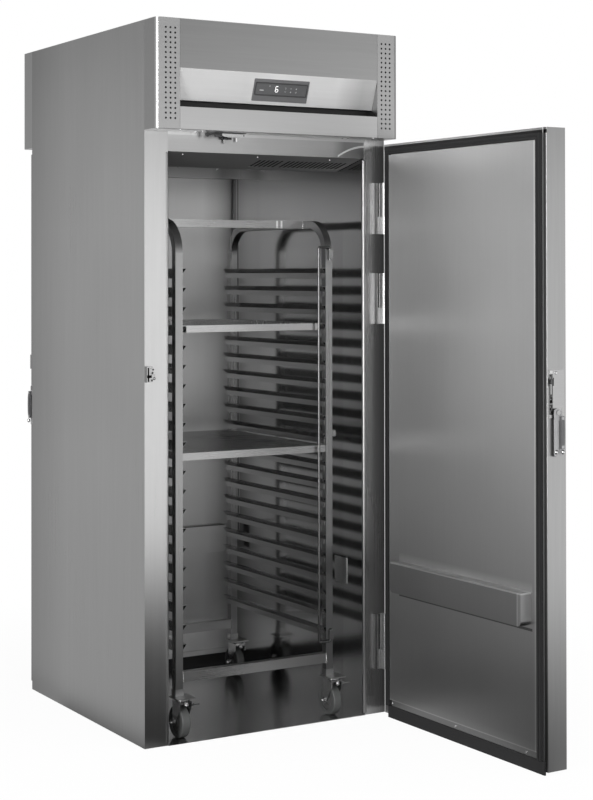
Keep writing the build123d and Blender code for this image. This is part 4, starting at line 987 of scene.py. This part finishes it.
def louvrePanel():
    fall = (louvre["low"] - louvre["high"]) / (louvre["back"] - louvre["front"])
    panel = slab("evaporator_louvre", (-louvre["half"], louvre["front"], louvre["high"]),
                 (louvre["half"], louvre["back"], louvre["high"] + 0.5), 0)
    for vertex in panel.data.vertices:
        if vertex.co.y > -0.4 and vertex.co.z < (louvre["high"] + 0.2) * mm:
            vertex.co.z = louvre["low"] * mm
    softenEdges(panel, 0.15 * mm, 1, 10)
    cutters, hollows = [], []
    for start, count in louvre["starts"]:
        for number in range(count):
            x = start + number * louvre["pitch"]
            for pieces, grow in ((cutters, 0.0), (hollows, 0.15)):
                low = (x - louvre["slotWidth"] / 2 - grow, louvre["slotFrom"] - grow, 0)
                high = (x + louvre["slotWidth"] / 2 + grow, louvre["slotTo"] + grow, 1)
                piece = slab("louvre_slot", low, high, 0)
                for vertex in piece.data.vertices:
                    surface = louvre["high"] + (vertex.co.y * 1000 - louvre["front"]) * fall
                    rise = louvre["depth"] if vertex.co.z > 0.5 * mm else -2.0
                    if grow:
                        rise = louvre["depth"] + 0.5 if vertex.co.z > 0.5 * mm else 0.8
                    vertex.co.z = (surface + rise) * mm
                pieces.append(piece)
    cutter = merge("louvre_cutter", cutters)
    applyModifier(panel, "BOOLEAN", operation="DIFFERENCE", object=cutter, solver="EXACT")
    discard(cutter)
    smoothFaces(panel, 20)
    finishPiece(panel, ceilingSheet, "cabinet", "brushed_panel")
    # Painted shade: near-black hollows inside the slots stand for the shade behind the louvre
    finishPiece(merge("evaporator_louvre_hollows", hollows), hollowBlack, "cabinet", "dark_plastic")


louvrePanel()


# Door switch bracket, each part by its two corners
switch = {"plate": ((-206.0, -489.0, 1877.6), (-113.0, -487.6, 1886.8)),
          "tab": ((-124.0, -461.6, 1866.0), (-117.5, -460.4, 1878.5)),
          "lip": ((-206.0, -489.0, 1886.6), (-111.0, -470.0, 1888.2)),
          "arm": ((-178.0, -462.0, 1871.6), (-142.0, -458.4, 1878.0)),
          "body": ((-216.0, -490.0, 1876.8), (-190.0, -484.2, 1888.5)),
          "rivet": (-113.5, -489.0, 1883.2), "rivetSize": (2.2, 0.6), "nut": (-236.0, -474.0, 1884.2),
          "nutSize": (7.2, 7.0), "slantLeft": 26.0, "slantRight": -7.0}


def switchBracket():
    plate = slab("switch_bracket", *switch["plate"], 0.3, 1)
    (left, _, low), (right, _, high) = switch["plate"]
    for vertex in plate.data.vertices:
        if vertex.co.z < (low + high) / 2 * mm:
            inLeft = vertex.co.x < (left + right) / 2 * mm
            vertex.co.x += (switch["slantLeft"] if inLeft else switch["slantRight"]) * mm
    tab = slab("switch_tab", *switch["tab"], 0.3, 1)
    lip = slab("switch_lip", *switch["lip"], 0.3, 1)
    finishPiece(merge("switch_bracket", [plate, tab, lip]), hingeZinc, "cabinet", "zinc")
    dark = [disc("switch_rivet", switch["rivet"], (0, -1, 0), *switch["rivetSize"], 16),
            disc("switch_nut", switch["nut"], (0, -1, 0), *switch["nutSize"], 6),
            slab("switch_arm", *switch["arm"], 0.6, 2),
            slab("switch_body", *switch["body"], 1.2, 2)]
    finishPiece(merge("switch_fittings", dark), darkPlastic, "cabinet", "dark_plastic")


# Painted shade: near-black marks for the strikers' slots and holes, slots by their ends along x and z, holes by
# their middle and radius
striker = {"proud": 17.5, "slots": ((-437.6, -432.6, 1121.5, 1164.0, 0.3), (-439.6, -424.0, 1133.0, 1141.5, 0.35),
                                    (-424.5, -418.5, 1146.0, 1151.0, 0.3)),
           "holes": ((-419.5, 1158.5, 2.8), (-423.5, 1125.5, 3.0)), "depth": 0.3, "ringX": -415.6,
           "ringZ": 1131.0, "ringRadius": 3.6, "ringWire": 1.2, "ringSink": 0.85}


def strikerSlots(side):
    face = side * (cabinet["halfDepth"] + striker["proud"])
    marks = [slab("mark", (left, face + side * rise, low), (right, face - side * 0.1, high), 0.05, 1)
             for left, right, low, high, rise in striker["slots"]]
    marks += [disc("mark", (x, face, z), (0, side, 0), radius, striker["depth"], 16)
              for x, z, radius in striker["holes"]]
    clearSelection()
    bpy.ops.mesh.primitive_torus_add(
        major_segments=24, minor_segments=8, major_radius=striker["ringRadius"] * mm,
        minor_radius=striker["ringWire"] * mm, rotation=(math.radians(90), 0, 0),
        location=Vector((striker["ringX"], face - side * striker["ringSink"], striker["ringZ"])) * mm)
    marks.append(settle(bpy.context.object))
    piece = merge(f"striker_slots_{'front' if side < 0 else 'rear'}", marks)
    finishPiece(piece, hollowBlack, "cabinet", "dark_plastic")


switchBracket()
strikerSlots(-1)
strikerSlots(1)

# Cover plate on the right inner wall
plate = {"y": (-344.0, -271.0), "z": (415.0, 500.0), "x": 358.0}


def wallPlate():
    piece = slab("wall_plate_cover", (plate["x"] - 0.7, plate["y"][0] - 0.3, plate["z"][0] - 0.3),
                 (plate["x"] - 0.02, plate["y"][1] + 0.3, plate["z"][1] + 0.3), 0)
    insetFace(piece, (-1, 0, 0), (2.4, 0.35))
    softenEdges(piece, 0.15 * mm, 1, 10)
    finishPiece(piece, plateSteel, "cabinet", "brushed_panel")


wallPlate()
finishPiece(scatter("wall_plate_screws", tinyScrew, wallPlateScrews, 33), brightPin, "cabinet", "zinc")
print("stage: cabinet trim")

# Door trim, latch and lever
latch = {"face": -410.5, "windows": ((1141, 1158), (1096, 1132), (1074, 1094), (1043, 1071)),
         "greyBlocks": ((8.5, 13.5, 1144.5, 1153.0, 0.3), (15.5, 18.5, 1143.5, 1156.5, 0.2),
                        (8.5, 15.0, 1084.0, 1088.5, 0.3), (8.2, 12.8, 1046.0, 1055.0, 0.3),
                        (13.8, 18.2, 1052.0, 1061.0, 0.4), (9.0, 14.0, 1061.5, 1067.5, 0.3)),
         "brightBlocks": ((11.2, 14.6, 1100.0, 1132.5, 0.8), (8.0, 18.0, 1032.5, 1041.0, 1.1),
                          (8.0, 18.0, 1160.5, 1169.5, 1.1)),
         "windowT": (6.5, 19.5), "screwT": 33.0, "screwZ": (1162.0, 1051.0, 1039.0)}
grip = {"t": (37.0, 46.0), "z": (944.0, 1036.0), "face": -421.5, "cover": 1.4, "waist": 2.2,
        "nubs": ((24.0, 12.5), (41.5, 21.0)), "nubSize": (5.2, 5.6, 7.0), "nubZ": 934.0}
trim = {"flangeX": (369, 28, -315), "flangeZ": 49.0, "leafT": 26, "leafEnd": 20,
        "leaves": ((213, 328), (1338, 1452), (1638, 1750))}


def doorTrim(label, side):
    body = f"{label}_door"
    flange = [((x, side * (door["inner"] - 3.0), trim["flangeZ"]), (0, -side, 0)) for x in trim["flangeX"]]
    leaf = [((door["hingeEdge"] + 3.0, side * (door["inner"] + trim["leafT"]), z), (1, 0, 0))
            for low, high in trim["leaves"] for z in (low + trim["leafEnd"], high - trim["leafEnd"])]
    screws = scatter(f"{label}_door_screws", smallScrew, flange + leaf, 29)
    finishPiece(hang(screws, side), brightPin, body, "zinc")
    edge = [((latch["face"], side * (door["inner"] + latch["screwT"]), z), (-1, 0, 0))
            for z in latch["screwZ"]]
    finishPiece(hang(scatter(f"{label}_latch_screws", smallScrew, edge, 50), side), brightPin, body, "zinc")


def latchWindows(label, side):
    # Openings of the latch case: pockets painted near-black for the shade inside, in a raised rim, with the
    # tongue in one of them
    near, far = [side * (door["inner"] + t) for t in latch["windowT"]]
    pockets, rims = [], []
    for low, high in latch["windows"]:
        rim = slab("rim", (latch["face"] - 0.9, near, low), (latch["face"] - 0.02, far, high), 0)
        pickFaces(rim, lambda centre, normal: normal.x < -0.9)
        bpy.ops.mesh.inset(thickness=1.6 * mm)
        bpy.ops.mesh.delete(type="FACE")
        leaveEdit()
        applyModifier(rim, "SOLIDIFY", thickness=0.3 * mm, offset=-1.0)
        rims.append(rim)
        pockets.append(slab("pocket", (latch["face"] - 0.35, near, low - 0.9),
                            (latch["face"] - 0.05, far, high + 0.9), 0.1, 1))
    blocks, bright = [[slab("block", (latch["face"] - 0.4 - proud, side * (door["inner"] + a), low),
                            (latch["face"] - 0.2, side * (door["inner"] + b), high), 0.25, 1)
                       for a, b, low, high, proud in latch[kind]] for kind in ("greyBlocks", "brightBlocks")]
    finishPiece(hang(merge(f"{label}_latch_rims", rims + blocks), side), latchGrey, f"{label}_door", "zinc")
    finishPiece(hang(merge(f"{label}_latch_blocks", bright), side), hingeZinc, f"{label}_door", "zinc")
    holes = hang(merge(f"{label}_latch_pockets", pockets), side)
    finishPiece(holes, hollowBlack, f"{label}_door", "dark_plastic")


def leverGrip(label, side):
    # Dark moulded sleeve over the lever's outer leg, with a rounded nub at its end
    near = side * (door["inner"] + grip["t"][0] - grip["cover"])
    far = side * (door["inner"] + grip["t"][1] + grip["cover"])
    sleeve = slab("sleeve", (grip["face"] - 9.0 - grip["cover"], near, grip["z"][0] - 1.0),
                  (grip["face"] + 0.4, far, grip["z"][1] + 1.0), 0)
    editAll(sleeve)
    bpy.ops.mesh.subdivide(number_cuts=4)
    leaveEdit()
    middle = (grip["z"][0] + grip["z"][1]) / 2 * mm
    for vertex in sleeve.data.vertices:
        reach = abs(vertex.co.z - middle) / ((grip["z"][1] - grip["z"][0]) / 2 * mm)
        if vertex.co.x < (grip["face"] - 4) * mm:
            vertex.co.x += grip["waist"] * mm * reach ** 3
    softenEdges(sleeve, 2.2 * mm, 3, 50)
    finishPiece(hang(sleeve, side), gripPlastic, f"{label}_pull_lever", "dark_plastic")
    sleeve.name = f"{label}_lever_grip"
    nubs = []
    for t, reach in grip["nubs"]:
        clearSelection()
        bpy.ops.mesh.primitive_uv_sphere_add(segments=20, ring_count=12, radius=1.0)
        nub = bpy.context.object
        nub.scale = Vector(grip["nubSize"]) * mm
        nub.location = Vector((door["freeEdge"] - reach, side * (door["inner"] + t), grip["nubZ"])) * mm
        settle(nub)
        smoothFaces(nub, 60)
        nubs.append(nub)
    finishPiece(hang(merge(f"{label}_lever_nubs", nubs), side), brightPin, f"{label}_pull_lever", "zinc")


for label, side in doorSides:
    doorTrim(label, side)
    latchWindows(label, side)
    leverGrip(label, side)
print("stage: door trim")

# Casters: race ring, axle caps, king bolt cap, hub discs
caster = {"left": -289.5, "right": 265.0, "front": -406.0, "rear": 246.0, "trail": 18.0, "axle": 52.3,
          "crown": 119.0, "half": 20.5, "wheelHalf": 15.0, "race": 21.0, "raceWire": 2.4, "raceUp": 5.2,
          "hub": 33.5, "hubSteps": ((4.0, 1.2), (9.0, -2.4), (8.0, 3.4))}
corners = {"front_left": (caster["left"], caster["front"]), "front_right": (caster["right"], caster["front"]),
           "rear_left": (caster["left"], caster["rear"]), "rear_right": (caster["right"], caster["rear"])}


def casterTrim(corner, x, y):
    caps = [((x + side * (caster["half"] + 5.0), y + caster["trail"], caster["axle"]), (side, 0, 0))
            for side in (-1, 1)]
    caps.append(((x, y - 25.0, caster["crown"] - 7.0), (0, -1, 0)))
    finishPiece(scatter(f"axle_caps_{corner}", axleCap, caps), brightPin, f"fork_{corner}", "zinc")
    clearSelection()
    bpy.ops.mesh.primitive_torus_add(
        major_segments=40, minor_segments=10, major_radius=caster["race"] * mm,
        minor_radius=caster["raceWire"] * mm, location=Vector((x, y, caster["crown"] + caster["raceUp"])) * mm)
    race = bpy.context.object
    race.name = f"caster_race_{corner}"
    settle(race)
    smoothFaces(race, 60)
    finishPiece(race, brightPin, f"fork_{corner}", "zinc")
    hubs = []
    for side in (-1, 1):
        hub = disc("hub", (x + side * (caster["wheelHalf"] - 6.2), y + caster["trail"], caster["axle"]),
                   (side, 0, 0), caster["hub"], 3.0, 40)
        insetFace(hub, (side, 0, 0), *caster["hubSteps"])
        softenEdges(hub, 0.5 * mm, 2, 20)
        hubs.append(hub)
    finishPiece(merge(f"wheel_hub_{corner}", hubs), hubPlastic, f"wheel_{corner}", "dark_plastic")


for corner, (x, y) in corners.items():
    casterTrim(corner, x, y)
print("stage: casters")

# Weld beads where the rack's bars meet its side frames
weld = {"radius": 2.8, "pitch": 3.6, "shape": (0.55, 1.0, 0.8), "topY": -250.0, "topZ": (1602.0, 25.0),
        "lowZ": (174.0, 31.0), "sway": 0.5, "swayStep": 2.3}


def weldBeads(name, body):
    clearSelection()
    bpy.ops.mesh.primitive_ico_sphere_add(subdivisions=2, radius=weld["radius"] * mm)
    bead = bpy.context.object
    bead.scale = weld["shape"]
    settle(bead)
    inner = rack["left"] + rack["tube"], rack["right"] - rack["tube"]
    spans = ((weld["topY"], *weld["topZ"]), (rack["front"], *weld["lowZ"]),
             (rack["back"] - rack["tube"], *weld["lowZ"]))
    beads = []
    for front, low, tall in spans:
        for number, x in enumerate(inner):
            steps = int(tall / weld["pitch"])
            for step in range(steps + 1):
                piece = copyOf(bead)
                sway = weld["sway"] * math.sin(step * weld["swayStep"] + number)
                piece.location = Vector((x + (0.3 if number == 0 else -0.3) + 0.2 * sway, front + 0.2,
                                         low + step * weld["pitch"])) * mm
                settle(piece)
                beads.append(piece)
    discard(bead)
    piece = merge(name, beads)
    smoothFaces(piece, 60)
    finishPiece(piece, weldMetal, body, "zinc")


weldBeads("rack_weld_beads", "rack")

# Tray ledges: near-black plugs paint the shade in the hollow ends, and noses whose open mouths at the front are
# near-black wedges of painted shade
ledge = {"left": -281.0, "right": 246.0, "top": 1468.0, "pitch": 60.4, "gap": 89.0, "sheet": 1.5,
         "reach": 11.4, "drop": 12.9, "front": -384.2, "back": 286.2, "plug": 1.5, "noseReach": 13.5,
         "noseDrop": 16.5, "nose": (-394.6, -385.1), "mouth": (-394.75, -393.2), "mouthInset": 0.7,
         "levels": 20, "upper": 10, "weld": 0.00001}


def ledgePlaces():
    # The wall face, the way inward and the top of each ledge
    for wall, inward in ((ledge["left"], 1), (ledge["right"], -1)):
        for level in range(ledge["levels"]):
            below = level >= ledge["upper"]
            step = level - 1 if below else level
            yield wall, inward, ledge["top"] - ledge["pitch"] * step - (ledge["gap"] if below else 0)


def wedge(low, high):
    # A bar of three-cornered section whose lower edge lies against the wall
    piece = slab("wedge", low, high, 0)
    for vertex in piece.data.vertices:
        if vertex.co.z < (low[2] + high[2]) / 2 * mm:
            vertex.co.x = low[0] * mm
    editAll(piece)
    bpy.ops.mesh.remove_doubles(threshold=ledge["weld"])
    leaveEdit()
    return piece


def ledgeEnds():
    plugs = []
    for wall, inward, edge in ledgePlaces():
        top = edge - ledge["sheet"] - 0.1
        for y in (ledge["front"], ledge["back"] - ledge["plug"]):
            low = (wall + inward * (ledge["sheet"] + 0.1), y, top - ledge["drop"] + ledge["sheet"] + 0.4)
            plugs.append(wedge(low, (wall + inward * (ledge["reach"] - 0.3), y + ledge["plug"], top)))
    finishPiece(merge("rack_ledge_hollows", plugs), hollowBlack, "rack", "dark_plastic")


def ledgeNoses():
    # Each hollow ledge runs forward to the front of its upright and ends in a mouth, a near-black wedge of
    # painted shade
    noses, mouths = [], []
    for wall, inward, top in ledgePlaces():
        for pieces, inset, span in ((noses, 0.0, ledge["nose"]), (mouths, ledge["mouthInset"], ledge["mouth"])):
            low = (wall + inward * (0.05 + inset), span[0], top - ledge["noseDrop"] + inset * 1.6)
            high = (wall + inward * (ledge["noseReach"] - inset * 1.6), span[1], top - inset)
            pieces.append(wedge(low, high))
    finishPiece(merge("rack_ledge_noses", noses), rackRunner, "rack", "brushed_panel")
    finishPiece(merge("rack_ledge_mouths", mouths), hollowBlack, "rack", "dark_plastic")


ledgeEnds()
ledgeNoses()
discard(smallScrew, tinyScrew, axleCap)
print("stage: rack trim")


# Studio: white floor, grey card that only reflections see, soft lamps
studio = {"floorSize": 60.0, "wallRadius": 11.0, "wallHeight": 9.0, "floorTone": 0.8, "ambient": 0.5,
          "wall": 0.45, "front": 0.95, "left": 0.8, "lid": 0.14, "cardSize": 22.0, "cardRise": 0.0008,
          "card": 0.5, "cardFront": 0.9}
studioRamps = {"floor": ((0.0, 0.93), (0.22, 0.96), (0.4, 1.0)), "front": ((0.5, 0.0), (0.72, 1.0)),
               "left": ((0.84, 0.0), (0.95, 1.0)), "level": ((0.0, 1.0), (0.27, 1.0), (0.35, 0.12), (1.0, 0.0)),
               "leftLevel": ((0.0, 0.6), (0.25, 1.0), (0.5, 0.4)), "dim": ((0.35, 1.0), (0.7, 0.35)),
               "close": ((0.45, 0.06), (0.54, 0.24), (0.76, 0.38), (0.85, 0.95)),
               "aside": ((0.30, 0.0), (0.37, 0.8)), "cardFront": ((0.3, 0.0), (0.6, 1.0)),
               "cardSide": ((0.15, 0.0), (0.3, 1.0)), "beside": ((0.2, 0.0), (0.4, 1.0))}
lamps = (("key_softbox", (-4.6, -3.2, 1.9), (0, -0.4, 1.1), 1.3, 3.4, 200, True),
         ("top_softbox", (0.3, -1.8, 4.6), (0, -0.2, 1.0), 3.2, 2.4, 90, False),
         ("front_softbox", (-1.0, -6.0, 2.0), (0, 0, 1.0), 2.6, 2.6, 90, False))


def distance(finish, x, y):
    return finish.add("ShaderNodeMath", {"operation": "SQRT"}, {0: x * x + y * y})


def addFloor():
    bpy.ops.mesh.primitive_plane_add(size=studio["floorSize"], location=(0, 0, 0))
    floor = bpy.context.object
    floor.name = "studio_floor"
    finish = Finish("studio_floor_finish")
    finish.set(base_color=tint(studio["floorTone"]), roughness=0.9, specular_ior_level=0.1)
    x, y, z = coordinates(finish)
    clean = ramp(finish, distance(finish, x, y) * 0.2, *studioRamps["floor"])
    seen = finish.add("ShaderNodeLightPath", output="Is Camera Ray")
    glow = finish.add("ShaderNodeEmission", {}, {"Color": (1, 1, 1, 1), "Strength": 1.0})
    matt = Value(finish, finish.shader.outputs[0])
    mix = finish.add("ShaderNodeMixShader", {}, {0: seen * clean, 1: matt, 2: glow})
    finish.tree.links.new(mix.socket, finish.output.inputs["Surface"])
    floor.data.materials.append(finish.owner)


def drumTone(finish):
    # Bright before the cabinet, lit to the left and dim elsewhere
    x, y, z = coordinates(finish)
    across, up = -1 / studio["wallRadius"], 1 / studio["wallHeight"]
    front = ramp(finish, y * across, *studioRamps["front"])
    left = ramp(finish, x * across, *studioRamps["left"])
    level, leftLevel, dim = [ramp(finish, z * up, *studioRamps[name]) for name in ("level", "leftLevel", "dim")]
    return front * level * studio["front"] + left * leftLevel * studio["left"] + dim * studio["wall"]


def cardTone(finish):
    # The floor as reflections see it: dark close to the doorway, bright further out in front
    x, y, z = coordinates(finish)
    close = ramp(finish, distance(finish, x, y + 0.5) * 0.25, *studioRamps["close"])
    aside = ramp(finish, x * 0.43 + y * 0.26 + 0.5, *studioRamps["aside"])
    near = finish.add("ShaderNodeMath", {"operation": "MAXIMUM"}, {0: close, 1: aside})
    front = ramp(finish, y * -0.2, *studioRamps["cardFront"])
    side = ramp(finish, x * -0.5, *studioRamps["cardSide"])
    beside = ramp(finish, y + 0.8, *studioRamps["beside"])
    tone = (front * studio["cardFront"] + studio["card"]) * near
    return finish.add("ShaderNodeMath", {"operation": "MAXIMUM"},
                      {0: tone, 1: side * beside * studio["card"]})


def lidTone(finish):
    return tint(studio["lid"])


def reflectedSheet(name, tone):
    # The mesh just added glows, but only in reflections
    sheet = bpy.context.object
    sheet.name = name
    bpy.ops.object.transform_apply(location=True, rotation=True, scale=True)
    finish = Finish(f"{name}_finish")
    glow = finish.add("ShaderNodeEmission", {}, {"Color": tone(finish), "Strength": 1.0})
    finish.tree.links.new(glow.socket, finish.output.inputs["Surface"])
    sheet.data.materials.append(finish.owner)
    for rays in ("camera", "diffuse", "shadow", "transmission"):
        setattr(sheet, f"visible_{rays}", False)


def addCards():
    # A drum of card round the set, a card on the floor and a dark lid
    radius, height = studio["wallRadius"], studio["wallHeight"]
    bpy.ops.mesh.primitive_cylinder_add(vertices=96, radius=radius, depth=height,
                                        location=(0, 0, height / 2), end_fill_type="NOTHING")
    reflectedSheet("studio_walls", drumTone)
    bpy.ops.mesh.primitive_plane_add(size=studio["cardSize"], location=(0, 0, studio["cardRise"]))
    reflectedSheet("studio_floor_card", cardTone)
    bpy.ops.mesh.primitive_circle_add(vertices=64, radius=radius, fill_type="NGON", location=(0, 0, height))
    reflectedSheet("studio_lid", lidTone)


def addLamp(name, place, target, width, height, power, reflected):
    bpy.ops.object.light_add(type="AREA", location=place)
    lamp = bpy.context.object
    lamp.name = name
    lamp.data.shape = "RECTANGLE"
    lamp.data.size = width
    lamp.data.size_y = height
    lamp.data.energy = power
    lamp.rotation_euler = (Vector(target) - Vector(place)).to_track_quat("-Z", "Y").to_euler()
    lamp.visible_glossy = reflected


def setWorld():
    world = bpy.data.worlds.new("studio_world")
    scene.world = world
    finish = Finish("studio_world", owner=world)
    for node in list(finish.tree.nodes):
        if node.type == "BACKGROUND":
            finish.tree.nodes.remove(node)
    camera = finish.add("ShaderNodeLightPath", output="Is Camera Ray")
    glossy = finish.add("ShaderNodeLightPath", output="Is Glossy Ray")
    through = finish.add("ShaderNodeLightPath", output="Is Transmission Ray")
    seen = camera + glossy + through
    white = finish.add("ShaderNodeBackground", {}, {"Color": (1, 1, 1, 1), "Strength": 1.0})
    soft = finish.add("ShaderNodeBackground", {}, {"Color": (1, 1, 1, 1), "Strength": studio["ambient"]})
    mix = finish.add("ShaderNodeMixShader", {}, {0: seen > 0.5, 1: soft, 2: white})
    finish.tree.links.new(mix.socket, finish.output.inputs["Surface"])


bpy.ops.object.select_all(action="DESELECT")
addFloor()
addCards()
for lampSettings in lamps:
    addLamp(*lampSettings)
setWorld()
print("stage: studio lit")
